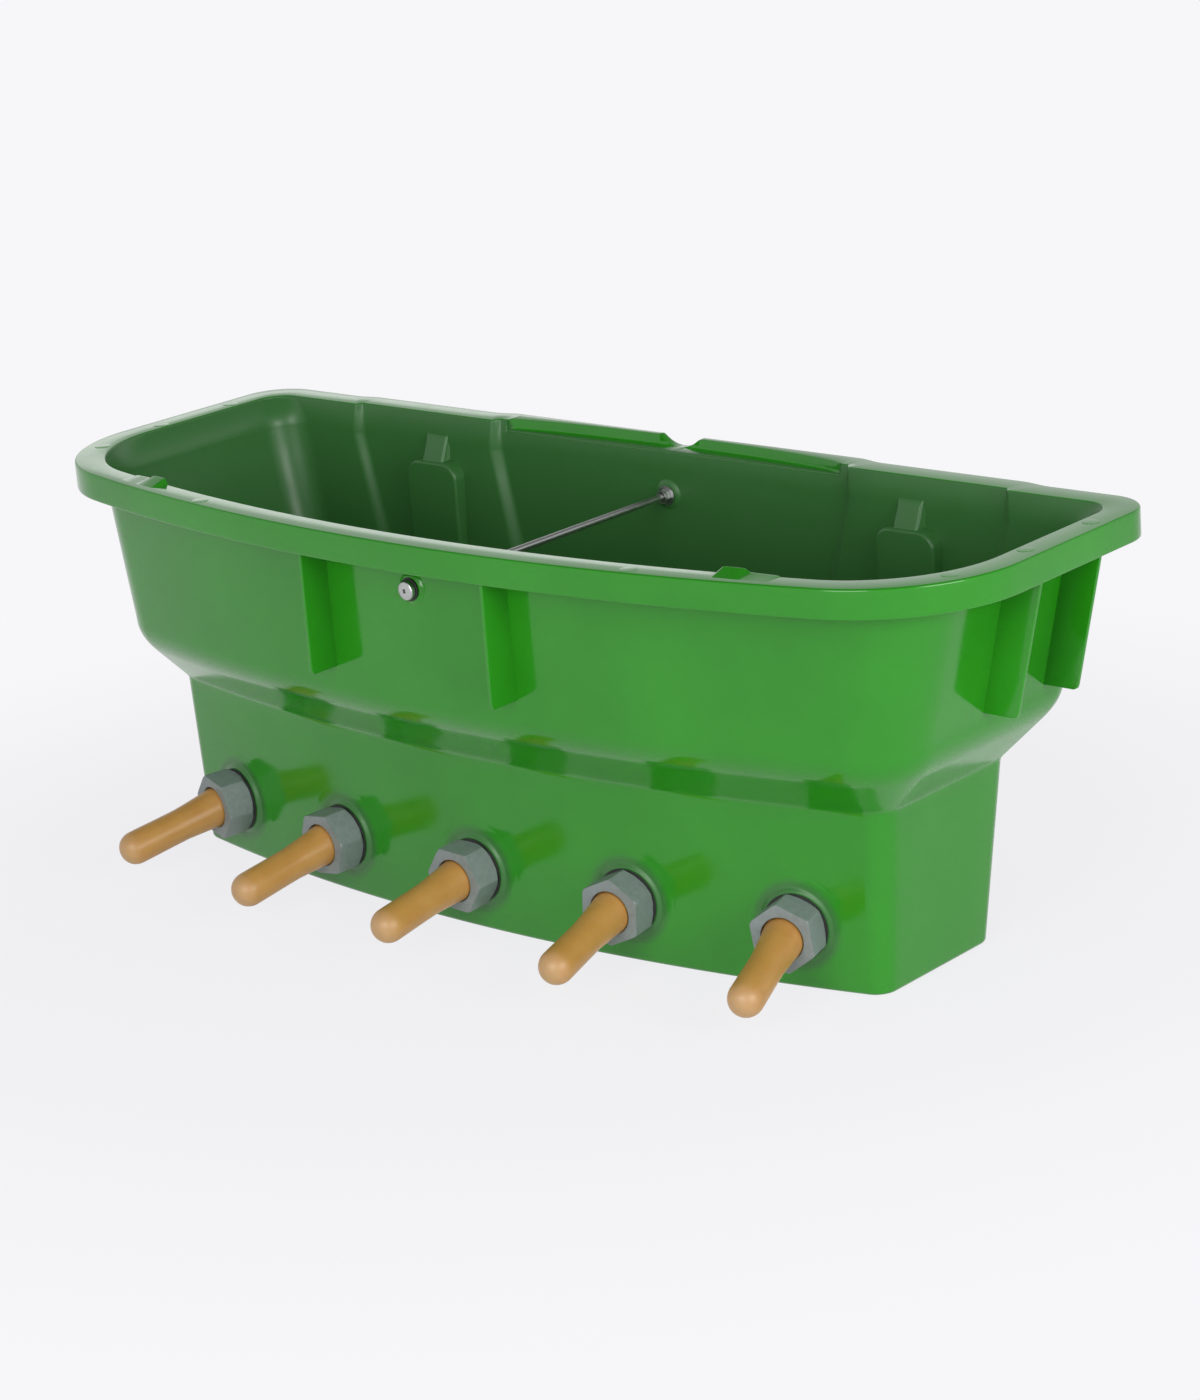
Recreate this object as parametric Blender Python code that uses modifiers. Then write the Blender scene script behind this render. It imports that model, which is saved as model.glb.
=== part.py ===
"""Milk feeding trough for five calves: moulded tub, five valve teats, one tie bolt.

Metres, +Z up. X runs along the length, -Y is the side the teats are on.
The origin is the centre of the underside of the base.
"""
import math

import bmesh
import bpy
from mathutils import Matrix, Vector

# Base of the tub
BASE_HALF_LENGTH = 0.3515
BASE_HALF_DEPTH = 0.0890
BASE_CORNER = 0.018
BASE_EDGE = 0.0040

# Heights of the four bands of the wall, from the floor up
LOWER_HEIGHT = 0.138
SHOULDER_HEIGHT = 0.056
UPPER_HEIGHT = 0.106
FLARE_HEIGHT = 0.026

# How far each band of the wall spreads, at the ends, the front and the back
LOWER_SPREAD = (0.0080, 0.0035, 0.0190)
SHOULDER_SPREAD = (0.0346, 0.0400, 0.0420)
UPPER_SPREAD = (0.0191, 0.0015, 0.0050)
RIM_OVERHANG = (0.0368, 0.0280, 0.0230)

# Bow of the front wall and of the front rim
FRONT_BOW = 1.46
RIM_BOW = 1.485
WALL_SPLAY = 0.010
RIM_SPLAY = 0.020
UPPER_CORNER = 0.060
RIM_FRONT_CORNER = 0.118
RIM_BACK_CORNER = 0.037
MOUTH_FRONT_CORNER = 0.105
MOUTH_BACK_CORNER = 0.0224

# Walls and the rim with its skirt
WALL = 0.004
FLOOR = 0.0045
FLOOR_FILLET = 0.0040
RIM_WIDTH = 0.023
RIM_BACK_WIDTH = 0.0243
RIM_THICKNESS = 0.0035
RIM_EDGE = 0.0016
SKIRT_HEIGHT = 0.0223
SKIRT_THICKNESS = 0.003
SHOULDER_RISE = 0.0030
FLARE_RISE = 0.0020
SHOULDER_STEPS = 7
SHOULDER_HOLLOW_SHARE = 0.08
SHOULDER_ROUND_SHARE = 0.45
FLARE_STEPS = 4

# Jogs of the back wall, which set its middle further back
JOG_INNER_X = 0.181
JOG_OUTER_X = 0.332
JOG_INNER = 0.0061
JOG_OUTER = 0.0052
JOG_HALF_RUN = 0.008
LOWER_JOG_SPREAD = 0.84
UPPER_JOG_SPREAD = 0.86

# Gap kept between pieces that touch, and overlap between forms that are joined
FIT_GAP = 0.0003
SINK = 0.0010

# Teat stations, counted from the left end
STATION_HEIGHT = 0.049
STATION_INNER_PITCH = 0.1462
STATION_OUTER_PITCH = 0.1413
STATION_FAN = 7.0
STATION_TILT = 2.5
NUT_TURN = (21.0, 40.0, 27.0, 55.0, 7.0)
TEAT_DROOP = (10.0, 9.0, 6.0, 9.0, 10.0)
TEAT_SWING = (-3.0, -1.0, 0.0, 1.0, 3.0)

# Threaded spigot, its two rubber rings and the pad on the wall
THREAD_RADIUS = 0.0187
SPIGOT_BORE_RADIUS = THREAD_RADIUS - 0.0057
SPIGOT_CHAMFER = 0.0010
FLANGE_RADIUS = THREAD_RADIUS + 0.0083
FLANGE_THICKNESS = 0.003
SEAL_THICKNESS = 0.0015
SEAL_RADIUS = THREAD_RADIUS + 0.0068
PAD_RADIUS = THREAD_RADIUS + 0.0133
PAD_PROUD = 0.002
PAD_DEPTH = WALL + 0.0048
PAD_CHAMFER = 0.0008

# Union nut
NUT_WALL = 0.0048
NUT_DEPTH = 0.0235
NUT_LIP = 0.005
NUT_FRONT_CHAMFER = 0.0014
NUT_BACK_CHAMFER = 0.0034

# Ball valve
BALL_RADIUS = 0.0070
BALL_BORE_RADIUS = BALL_RADIUS + 0.0013
SEAT_HOLE_RADIUS = BALL_RADIUS - 0.0020
SEAT_DEPTH = 0.0020
BALL_BORE_DEPTH = 0.0139
BALL_TRAVEL = 0.003

# Teat
TEAT_FLANGE_RADIUS = THREAD_RADIUS - 0.0007
TEAT_FLANGE = 0.0044
TEAT_ROOT_RADIUS = 0.0158
TEAT_TIP_RADIUS = 0.0135
TEAT_LENGTH = 0.0875
TEAT_STUB_RADIUS = 0.0076
TEAT_BEND = 0.009
NUT_MOUTH_RADIUS = TEAT_ROOT_RADIUS + 0.0010

# Tie bolt across the mouth of the tub
TIE_DROP = 0.043
TIE_RADIUS = 0.0028
TIE_PAD_RADIUS = 0.011
TIE_PAD_PROUD = 0.0018
TIE_SEAL_THICKNESS = 0.0018
TIE_SEAL_RADIUS = TIE_RADIUS + 0.0060
TIE_HEAD_RADIUS = TIE_RADIUS + 0.0047
TIE_HEAD_HEIGHT = 0.0045
TIE_HEAD_FLANGE = 0.0011
TIE_SOCKET_WIDTH = 0.0040
TIE_SOCKET_FLOOR = 0.0018
TIE_WASHER = 0.0012
TIE_WASHER_RADIUS = TIE_RADIUS + 0.0052
TIE_NUT_HEIGHT = 0.0050
TIE_NUT_WALL = 0.0022
TIE_NUT_EDGE = 0.0006
TIE_RING_HEIGHT = 0.0015

# Ribs under the rim
RIB_THICKNESS = 0.003
RIB_ROOT = 0.0008
RIB_CORNER = 0.003
FRONT_RIB_X = 0.092
FRONT_RIB_LIFT = 0.015
SIDE_RIB_Y = (0.028, 0.103)
SIDE_RIB_LIFT = 0.007
SIDE_RIB_DEPTH = 0.0317

# Hanger pockets in the back wall: an arch with a narrow channel above it
POCKET_X = 0.2435
POCKET_HALF_WIDTH = 0.0275
POCKET_CORNER = 0.014
POCKET_INWARD = 0.006
POCKET_CREST_DROP = 0.0383
POCKET_FOOT_LIFT = 0.012
POCKET_ARC_STEPS = 4
CHANNEL_HALF_WIDTH = 0.0118
CHANNEL_INWARD = 0.0080
CHANNEL_TOP_DROP = 0.017

# Recess and pouring notch in the middle of the back rim
BLOCK_DEPTH = 0.0130
RECESS_HALF_LENGTH = 0.172
RECESS_DEPTH = 0.008
RECESS_LIP = 0.0065
RECESS_STEPS = 12
NOTCH_HALF_TOP = 0.0205
NOTCH_HALF_BOTTOM = 0.011
NOTCH_CORNER = 0.002

# Raised tabs on the front rim
TAB_X = 0.2815
TAB_LENGTH = 0.044
TAB_HEIGHT = 0.0045
TAB_FRONT_INSET = 0.0065
TAB_RUN_UP = 0.005

# Sides of a turned piece
TURN_STEPS = 18
SMALL_TURN_STEPS = 12

# Heights and reaches that follow from the sizes above
LOWER_WALL_TOP = LOWER_HEIGHT
UPPER_WALL_BOTTOM = LOWER_WALL_TOP + SHOULDER_HEIGHT
UPPER_WALL_TOP = UPPER_WALL_BOTTOM + UPPER_HEIGHT
RIM_HEIGHT = UPPER_WALL_TOP + FLARE_HEIGHT
RIM_UNDERSIDE = RIM_HEIGHT - RIM_THICKNESS
SKIRT_BOTTOM = RIM_HEIGHT - SKIRT_HEIGHT
TIE_HEIGHT = RIM_HEIGHT - TIE_DROP
STATION_X = (-STATION_INNER_PITCH - STATION_OUTER_PITCH, -STATION_INNER_PITCH, 0.0,
             STATION_INNER_PITCH, STATION_INNER_PITCH + STATION_OUTER_PITCH)


def clear_scene():
    for item in list(bpy.data.objects):
        bpy.data.objects.remove(item, do_unlink=True)


def make_collection(name):
    collection = bpy.data.collections.new(name)
    bpy.context.scene.collection.children.link(collection)
    return collection


def srgb_to_linear(code):
    channels = []
    for start in (0, 2, 4):
        value = int(code[start:start + 2], 16) / 255.0
        if value <= 0.04045:
            channels.append(value / 12.92)
        else:
            channels.append(((value + 0.055) / 1.055) ** 2.4)
    return (channels[0], channels[1], channels[2], 1.0)


def make_material(name, code, roughness, metallic=0.0):
    material = bpy.data.materials.new(name)
    material.use_nodes = True
    shader = material.node_tree.nodes["Principled BSDF"]
    shader.inputs["Base Color"].default_value = srgb_to_linear(code)
    shader.inputs["Roughness"].default_value = roughness
    shader.inputs["Metallic"].default_value = metallic
    material.diffuse_color = srgb_to_linear(code)
    return material


def add_object(name, mesh, collection):
    item = bpy.data.objects.new(name, mesh)
    collection.objects.link(item)
    return item


def place(item, matrix):
    item.location = matrix.translation
    item.rotation_euler = matrix.to_euler()
    return item


def smooth(item, degrees=35.0):
    item.data.shade_smooth()
    item.data.set_sharp_from_angle(angle=math.radians(degrees))


def turned(name, profile, matrix, collection, ring=False, steps=TURN_STEPS):
    """Turn (radius, height) points round Z; they run up the outer side of the piece."""
    points = [(radius, 0.0, height) for radius, height in reversed(profile)]
    edges = [(index, index + 1) for index in range(len(points) - 1)]
    if ring:
        edges.append((len(points) - 1, 0))
    mesh = bpy.data.meshes.new(name)
    mesh.from_pydata(points, edges, [])
    item = add_object(name, mesh, collection)
    screw = item.modifiers.new("turn", "SCREW")
    screw.steps = steps
    screw.render_steps = steps
    screw.use_merge_vertices = True
    screw.merge_threshold = 0.00001
    return place(item, matrix)


def cylinder(name, radius, low, high, matrix, collection, sides=TURN_STEPS, turn_degrees=0.0):
    """A cylinder or prism along local Z, with a corner at the given angle from local X."""
    form = bmesh.new()
    lift = Matrix.Translation((0.0, 0.0, (low + high) / 2))
    turn = Matrix.Rotation(math.radians(turn_degrees - 90.0), 4, "Z")
    bmesh.ops.create_cone(form, cap_ends=True, segments=sides, radius1=radius, radius2=radius,
                          depth=high - low, matrix=lift @ turn)
    mesh = bpy.data.meshes.new(name)
    form.to_mesh(mesh)
    form.free()
    return place(add_object(name, mesh, collection), matrix)


def hexagon(name, across_flats, low, high, matrix, collection, turn_degrees=0.0):
    corner = across_flats / math.sqrt(3.0)
    return cylinder(name, corner, low, high, matrix, collection, 6, turn_degrees)


def box(name, low, high, collection):
    form = bmesh.new()
    centre = (Vector(low) + Vector(high)) / 2
    size = Vector(high) - Vector(low)
    matrix = Matrix.Translation(centre) @ Matrix.Diagonal((size.x, size.y, size.z, 1.0))
    bmesh.ops.create_cube(form, size=1.0, matrix=matrix)
    mesh = bpy.data.meshes.new(name)
    form.to_mesh(mesh)
    form.free()
    return add_object(name, mesh, collection)


def plate(name, outline, low, high, axis, collection):
    """A flat outline of (first, second) world pairs, as thick as from low to high along axis."""
    curve = bpy.data.curves.new(name, "CURVE")
    curve.dimensions = "2D"
    curve.fill_mode = "BOTH"
    curve.extrude = (high - low) / 2
    spline = curve.splines.new("POLY")
    spline.points.add(len(outline) - 1)
    for point, (first, second) in zip(spline.points, outline):
        point.co = (first, second, 0.0, 1.0)
    spline.use_cyclic_u = True
    guide = add_object(name + "_outline", curve, collection)
    middle = (low + high) / 2
    if axis == "X":
        matrix = Matrix(((0, 0, 1, middle), (1, 0, 0, 0), (0, 1, 0, 0), (0, 0, 0, 1)))
    elif axis == "Y":
        matrix = Matrix(((1, 0, 0, 0), (0, 0, -1, middle), (0, 1, 0, 0), (0, 0, 0, 1)))
    else:
        matrix = Matrix.Translation((0.0, 0.0, middle))
    place(guide, matrix)
    depsgraph = bpy.context.evaluated_depsgraph_get()
    mesh = bpy.data.meshes.new_from_object(guide.evaluated_get(depsgraph))
    form = bmesh.new()
    form.from_mesh(mesh)
    bmesh.ops.remove_doubles(form, verts=form.verts, dist=0.00001)
    bmesh.ops.recalc_face_normals(form, faces=form.faces)
    form.to_mesh(mesh)
    form.free()
    bpy.data.objects.remove(guide, do_unlink=True)
    return place(add_object(name, mesh, collection), matrix)


def add_boolean(item, operation, cutter):
    cutter.display_type = "WIRE"
    cutter.hide_render = True
    modifier = item.modifiers.new(operation.lower() + "_" + cutter.name, "BOOLEAN")
    modifier.operation = operation
    modifier.solver = "EXACT"
    modifier.object = cutter


class Plan:
    """A level outline of the tub: flat back with jogs, bowed front, round corners.

    half is half the length at the back line; splay is how fast the ends widen to the front.
    """

    def __init__(self, half, front, back, bow, front_corner, back_corner, splay, jog, spread):
        self.values = [half, front, back, bow, front_corner, back_corner, splay, jog, spread]
        self.half = half
        self.front = front
        self.back = back
        self.bow = bow
        self.front_corner = front_corner
        self.back_corner = back_corner
        self.splay = splay
        self.jog = jog
        self.spread = spread

    def blend(self, other, share):
        mixed = [a + (b - a) * share for a, b in zip(self.values, other.values)]
        return Plan(*mixed)

    def grow(self, distance):
        return Plan(self.half + distance, self.front - distance, self.back + distance,
                    self.bow + distance, self.front_corner + distance,
                    self.back_corner + distance, self.splay, self.jog, self.spread)

    def widen(self, reaches, front_corner, back_corner, bow, splay, jog, spread):
        ends, front, back = reaches
        return Plan(self.half + ends, self.front - front, self.back + back, bow, front_corner,
                    back_corner, splay, jog, spread)

    def front_at(self, x):
        return self.front + self.bow - math.sqrt(self.bow * self.bow - x * x)

    def side_at(self, y):
        return self.half + self.splay * (self.back - y)

    def points(self, level):
        inner_jog = JOG_INNER_X * self.spread
        outer_jog = JOG_OUTER_X * self.spread
        lean = math.atan(self.splay)
        forward = Vector((math.sin(lean), -math.cos(lean)))
        outward = Vector((math.cos(lean), math.sin(lean)))
        start = Vector((self.half, self.back))

        # Front corner, tangent to the straight end and to the bowed front
        centre = Vector((0.0, self.front + self.bow))
        offset = start - outward * self.front_corner - centre
        along = offset.dot(forward)
        spare = (self.bow - self.front_corner) ** 2 - offset.dot(offset)
        reach = math.sqrt(along * along + spare) - along
        corner = start - outward * self.front_corner + forward * reach

        # Back corner, tangent to the straight end and to the back line
        heel = start - outward * self.back_corner
        heel = heel + forward * ((self.back - self.back_corner - heel.y) / forward.y)

        middle = self.back + (JOG_INNER + JOG_OUTER) * self.jog
        between = self.back + JOG_OUTER * self.jog
        right = [Vector((0.0, middle)), Vector((inner_jog - JOG_HALF_RUN, middle)),
                 Vector((inner_jog + JOG_HALF_RUN, between)),
                 Vector((outer_jog - JOG_HALF_RUN, between)),
                 Vector((outer_jog + JOG_HALF_RUN, self.back))]
        for step in range(5):
            angle = math.pi / 2 + (lean - math.pi / 2) * step / 4
            right.append(heel + Vector((math.cos(angle), math.sin(angle))) * self.back_corner)
        turn = math.atan2(corner.y - centre.y, corner.x)
        for step in range(8):
            angle = lean + (turn - lean) * step / 7
            right.append(corner + Vector((math.cos(angle), math.sin(angle))) * self.front_corner)
        for step in range(1, 11):
            angle = turn + (-math.pi / 2 - turn) * step / 10
            right.append(centre + Vector((math.cos(angle), math.sin(angle))) * self.bow)
        left = [Vector((-point.x, point.y)) for point in right[1:-1]]
        return [(point.x, point.y, level) for point in right + left[::-1]]


base_plan = Plan(BASE_HALF_LENGTH, -BASE_HALF_DEPTH, BASE_HALF_DEPTH, FRONT_BOW, BASE_CORNER,
                 BASE_CORNER - 0.003, WALL_SPLAY, 0.0, LOWER_JOG_SPREAD)
lower_plan = base_plan.widen(LOWER_SPREAD, BASE_CORNER + 0.004, BASE_CORNER, FRONT_BOW,
                             WALL_SPLAY, 0.0, LOWER_JOG_SPREAD)
upper_low = lower_plan.widen(SHOULDER_SPREAD, UPPER_CORNER, UPPER_CORNER / 2, FRONT_BOW,
                             WALL_SPLAY, 1.0, UPPER_JOG_SPREAD)
upper_high = upper_low.widen(UPPER_SPREAD, UPPER_CORNER + 0.002, UPPER_CORNER / 2 + 0.002,
                             FRONT_BOW, WALL_SPLAY, 1.0, 1.0)
rim_plan = upper_high.widen(RIM_OVERHANG, RIM_FRONT_CORNER, RIM_BACK_CORNER, RIM_BOW,
                            RIM_SPLAY, 0.8, 1.03)
mouth_plan = rim_plan.widen((-RIM_WIDTH, -RIM_WIDTH, -RIM_BACK_WIDTH), MOUTH_FRONT_CORNER,
                            MOUTH_BACK_CORNER, RIM_BOW + 0.015, RIM_SPLAY, 1.0, 1.0)


def wall_plan(height):
    if height <= LOWER_WALL_TOP:
        return base_plan.blend(lower_plan, height / LOWER_WALL_TOP)
    return upper_low.blend(upper_high, (height - UPPER_WALL_BOTTOM) / UPPER_HEIGHT)


def shoulder_reach(share):
    """Part of the spread reached at a share of the height: hollow, straight, then round."""
    steep = 2.0 / (2.0 - SHOULDER_HOLLOW_SHARE - SHOULDER_ROUND_SHARE)
    if share < SHOULDER_HOLLOW_SHARE:
        return steep * share ** 2 / (2.0 * SHOULDER_HOLLOW_SHARE)
    if share < 1.0 - SHOULDER_ROUND_SHARE:
        return steep * (share - SHOULDER_HOLLOW_SHARE / 2)
    return 1.0 - steep * (1.0 - share) ** 2 / (2.0 * SHOULDER_ROUND_SHARE)


def shoulder_sections():
    """Height and plan of each section of the shoulder, from the bottom up."""
    sections = []
    for step in range(1, SHOULDER_STEPS):
        share = step / SHOULDER_STEPS
        height = LOWER_WALL_TOP + SHOULDER_HEIGHT * share
        sections.append((height, lower_plan.blend(upper_low, shoulder_reach(share))))
    return sections


def flare_sections(start, end):
    """Height and plan of each section where the wall turns out into the rim."""
    sections = []
    for step in range(1, FLARE_STEPS):
        share = step / FLARE_STEPS
        height = UPPER_WALL_TOP + (RIM_UNDERSIDE - UPPER_WALL_TOP) * share
        sections.append((height, start.blend(end, share ** 1.6)))
    return sections


def loft(name, sections, collection):
    """Join level outlines of equal point count into one closed shell."""
    shell = bmesh.new()
    rings = [[shell.verts.new(point) for point in plan.points(height)] for height, plan in sections]
    count = len(rings[0])
    for first, second in zip(rings[:-1], rings[1:]):
        for index in range(count):
            after = (index + 1) % count
            shell.faces.new((first[index], first[after], second[after], second[index]))
    shell.faces.new(rings[0])
    shell.faces.new(rings[-1])
    bmesh.ops.recalc_face_normals(shell, faces=shell.faces)
    mesh = bpy.data.meshes.new(name)
    shell.to_mesh(mesh)
    shell.free()
    return add_object(name, mesh, collection)


def build_shell(collection):
    """The bare tub: up the outside, over the rim and down the inside."""
    inner_high = upper_high.grow(-WALL)
    flared = mouth_plan.grow(WALL)
    skirt_inner = rim_plan.grow(-SKIRT_THICKNESS)
    sections = [(0.0, base_plan.grow(-BASE_EDGE)),
                (BASE_EDGE * 0.3, base_plan.grow(-BASE_EDGE * 0.3)),
                (BASE_EDGE, base_plan),
                (LOWER_WALL_TOP, lower_plan)]
    sections += shoulder_sections()
    sections += [(UPPER_WALL_BOTTOM, upper_low), (UPPER_WALL_TOP, upper_high)]
    sections += flare_sections(upper_high, flared)
    sections += [(RIM_UNDERSIDE, flared), (RIM_UNDERSIDE, skirt_inner),
                 (SKIRT_BOTTOM, skirt_inner),
                 (SKIRT_BOTTOM, rim_plan.grow(-RIM_EDGE / 2)),
                 (SKIRT_BOTTOM + RIM_EDGE / 2, rim_plan),
                 (RIM_HEIGHT - RIM_EDGE, rim_plan),
                 (RIM_HEIGHT, rim_plan.grow(-RIM_EDGE)),
                 (RIM_HEIGHT, mouth_plan.grow(RIM_EDGE)),
                 (RIM_HEIGHT - RIM_EDGE, mouth_plan)]
    for height, plan in reversed(flare_sections(inner_high, mouth_plan)):
        sections.append((height + FLARE_RISE, plan))
    sections += [(UPPER_WALL_TOP, inner_high), (UPPER_WALL_BOTTOM + SHOULDER_RISE / 2,
                                                upper_low.grow(-WALL))]
    for height, plan in reversed(shoulder_sections()):
        sections.append((height + SHOULDER_RISE, plan.grow(-WALL)))
    sections += [(LOWER_WALL_TOP + SHOULDER_RISE / 2, lower_plan.grow(-WALL)),
                 (FLOOR + FLOOR_FILLET, base_plan.grow(-WALL)),
                 (FLOOR, base_plan.grow(-WALL - FLOOR_FILLET))]
    return loft("trough_tub", sections, collection)


def front_ribs(cutters):
    """Two flat ribs between the front wall and the skirt."""
    ribs = []
    bottom = UPPER_WALL_BOTTOM + FRONT_RIB_LIFT
    skirt = rim_plan.front_at(FRONT_RIB_X) + SKIRT_THICKNESS - RIB_ROOT
    wall_low = upper_low.front_at(FRONT_RIB_X) + WALL / 2
    wall_high = upper_high.front_at(FRONT_RIB_X) + WALL / 2
    mouth = mouth_plan.front_at(FRONT_RIB_X) - WALL / 2
    top = RIM_HEIGHT - RIM_THICKNESS / 2
    outline = [(skirt, bottom + RIB_CORNER), (skirt + RIB_CORNER, bottom), (wall_low, bottom),
               (wall_high, UPPER_WALL_TOP), (mouth, RIM_UNDERSIDE - FLARE_RISE), (mouth, top),
               (skirt, top)]
    for index, side in enumerate((-1, 1)):
        x = side * FRONT_RIB_X
        ribs.append(plate("front_rib_%d" % (index + 1), outline, x - RIB_THICKNESS / 2,
                          x + RIB_THICKNESS / 2, "X", cutters))
    return ribs


def side_ribs(cutters):
    """Two ribs at each end, whose outer edge runs in toward the foot."""
    ribs = []
    bottom = UPPER_WALL_BOTTOM + SIDE_RIB_LIFT
    top = RIM_HEIGHT - RIM_THICKNESS / 2
    for y in SIDE_RIB_Y:
        skirt = rim_plan.side_at(y) - SKIRT_THICKNESS + RIB_ROOT
        wall_low = upper_low.side_at(y) - WALL / 2
        wall_high = upper_high.side_at(y) - WALL / 2
        mouth = mouth_plan.side_at(y) + WALL / 2
        foot = upper_low.side_at(y) + SIDE_RIB_DEPTH
        outline = [(skirt, top), (skirt, SKIRT_BOTTOM), (foot, bottom + RIB_CORNER),
                   (foot - RIB_CORNER, bottom), (wall_low, bottom), (wall_high, UPPER_WALL_TOP),
                   (mouth, RIM_UNDERSIDE - FLARE_RISE), (mouth, top)]
        for side in (-1, 1):
            mirrored = [(side * first, second) for first, second in outline]
            ribs.append(plate("side_rib_%d" % (len(ribs) + 1), mirrored, y - RIB_THICKNESS / 2,
                              y + RIB_THICKNESS / 2, "Y", cutters))
    return ribs


def valve_pads(cutters):
    """Round pads that give each valve a flat seat on both sides of the bowed wall."""
    pads = []
    holes = []
    hole_radius = THREAD_RADIUS + FIT_GAP
    for index in range(len(STATION_X)):
        matrix = station_matrix(index)
        profile = [(0.0, -PAD_DEPTH), (PAD_RADIUS, -PAD_DEPTH), (PAD_RADIUS, -PAD_CHAMFER),
                   (PAD_RADIUS - PAD_CHAMFER, 0.0), (0.0, 0.0)]
        pads.append(turned("valve_pad_%d" % (index + 1), profile, matrix, cutters))
        holes.append(cylinder("valve_hole_%d" % (index + 1), hole_radius, -2.0 * PAD_DEPTH,
                              PAD_DEPTH, matrix, cutters, turn_degrees=90.0))
    return pads, holes


def tie_matrix():
    """Local Z points out through the front wall, so local heights are minus the world Y."""
    matrix = Matrix.Rotation(math.radians(90.0), 4, "X")
    matrix.translation = Vector((0.0, 0.0, TIE_HEIGHT))
    return matrix


def tie_seats():
    """World Y of the four pad faces: front outer, front inner, back inner, back outer."""
    wall = wall_plan(TIE_HEIGHT)
    back = wall.back + JOG_INNER + JOG_OUTER
    return (wall.front - TIE_PAD_PROUD, wall.front + WALL + TIE_PAD_PROUD / 2,
            back - WALL - TIE_PAD_PROUD, back + TIE_PAD_PROUD)


def tie_pads(cutters):
    front_outer, front_inner, back_inner, back_outer = tie_seats()
    matrix = tie_matrix()
    front = cylinder("tie_pad_front", TIE_PAD_RADIUS, -front_inner, -front_outer, matrix, cutters)
    back = cylinder("tie_pad_back", TIE_PAD_RADIUS, -back_outer, -back_inner, matrix, cutters)
    hole = cylinder("tie_hole", TIE_RADIUS + FIT_GAP, -2.0 * back_outer, -2.0 * front_outer,
                    matrix, cutters, SMALL_TURN_STEPS, 90.0)
    return [front, back], [hole]


def hanger_pockets(cutters):
    """A boss inside the back wall and the matching arch and channel outside it."""
    bosses = []
    pockets = []
    inner = upper_low.back - POCKET_INWARD
    channel_inner = upper_high.back + JOG_OUTER - CHANNEL_INWARD
    outside = rim_plan.back + JOG_INNER + JOG_OUTER
    crest = RIM_HEIGHT - POCKET_CREST_DROP
    foot = UPPER_WALL_BOTTOM + POCKET_FOOT_LIFT
    wall_middle = upper_high.back + JOG_OUTER - WALL + SINK / 2
    for side in (-1, 1):
        centre = side * POCKET_X
        arches = []
        for trim in (0.0, WALL):
            half = POCKET_HALF_WIDTH - trim
            corner = POCKET_CORNER - trim
            spring = crest - POCKET_CORNER
            outline = [(centre - half, foot + 2.0 * trim), (centre + half, foot + 2.0 * trim)]
            for turned_to in (0.0, math.pi / 2):
                middle = centre + (half - corner) * (1.0 if turned_to == 0.0 else -1.0)
                for step in range(POCKET_ARC_STEPS + 1):
                    angle = turned_to + math.pi / 2 * step / POCKET_ARC_STEPS
                    outline.append((middle + corner * math.cos(angle),
                                    spring + corner * math.sin(angle)))
            arches.append(outline)
        label = "left" if side < 0 else "right"
        bosses.append(plate("arch_boss_" + label, arches[0], inner, wall_middle, "Y", cutters))
        pockets.append(plate("arch_pocket_" + label, arches[1], inner + WALL, outside, "Y",
                             cutters))
        half = CHANNEL_HALF_WIDTH
        low = crest - POCKET_CORNER
        bosses.append(box("channel_boss_" + label, (centre - half, channel_inner, low),
                          (centre + half, channel_inner + 2.0 * WALL - SINK,
                           RIM_HEIGHT - CHANNEL_TOP_DROP), cutters))
        half = CHANNEL_HALF_WIDTH - WALL
        pockets.append(box("channel_pocket_" + label, (centre - half, channel_inner + WALL, low),
                           (centre + half, outside, SKIRT_BOTTOM), cutters))
    return bosses, pockets


def back_rim(cutters):
    """Thick middle of the back rim, its arched recess and the pouring notch."""
    mouth = mouth_plan.back + JOG_INNER + JOG_OUTER
    outer = rim_plan.back + (JOG_INNER + JOG_OUTER) * rim_plan.jog
    block = box("rim_block", (-JOG_INNER_X, mouth + SINK, RIM_HEIGHT - BLOCK_DEPTH),
                (JOG_INNER_X, outer - SINK / 2, RIM_HEIGHT - SINK), cutters)
    floor = RIM_HEIGHT - RECESS_DEPTH
    crest = outer - RECESS_LIP - mouth
    outline = [(-RECESS_HALF_LENGTH, mouth - RIM_WIDTH), (RECESS_HALF_LENGTH, mouth - RIM_WIDTH)]
    for step in range(RECESS_STEPS + 1):
        share = 1.0 - 2.0 * step / RECESS_STEPS
        outline.append((RECESS_HALF_LENGTH * share, mouth + crest * math.sqrt(1.0 - share * share)))
    recess = plate("rim_recess", outline, floor, RIM_HEIGHT + RECESS_DEPTH, "Z", cutters)
    outline = [(-NOTCH_HALF_TOP, RIM_HEIGHT + SINK), (-NOTCH_HALF_BOTTOM, floor + SINK),
               (-NOTCH_HALF_BOTTOM + NOTCH_CORNER, floor - FIT_GAP),
               (NOTCH_HALF_BOTTOM - NOTCH_CORNER, floor - FIT_GAP),
               (NOTCH_HALF_BOTTOM, floor + SINK), (NOTCH_HALF_TOP, RIM_HEIGHT + SINK)]
    notch = plate("pouring_notch", outline, mouth + 2.0 * RECESS_LIP - RECESS_DEPTH,
                  outer + RECESS_DEPTH, "Y", cutters)
    return [block], [recess, notch]


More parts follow.
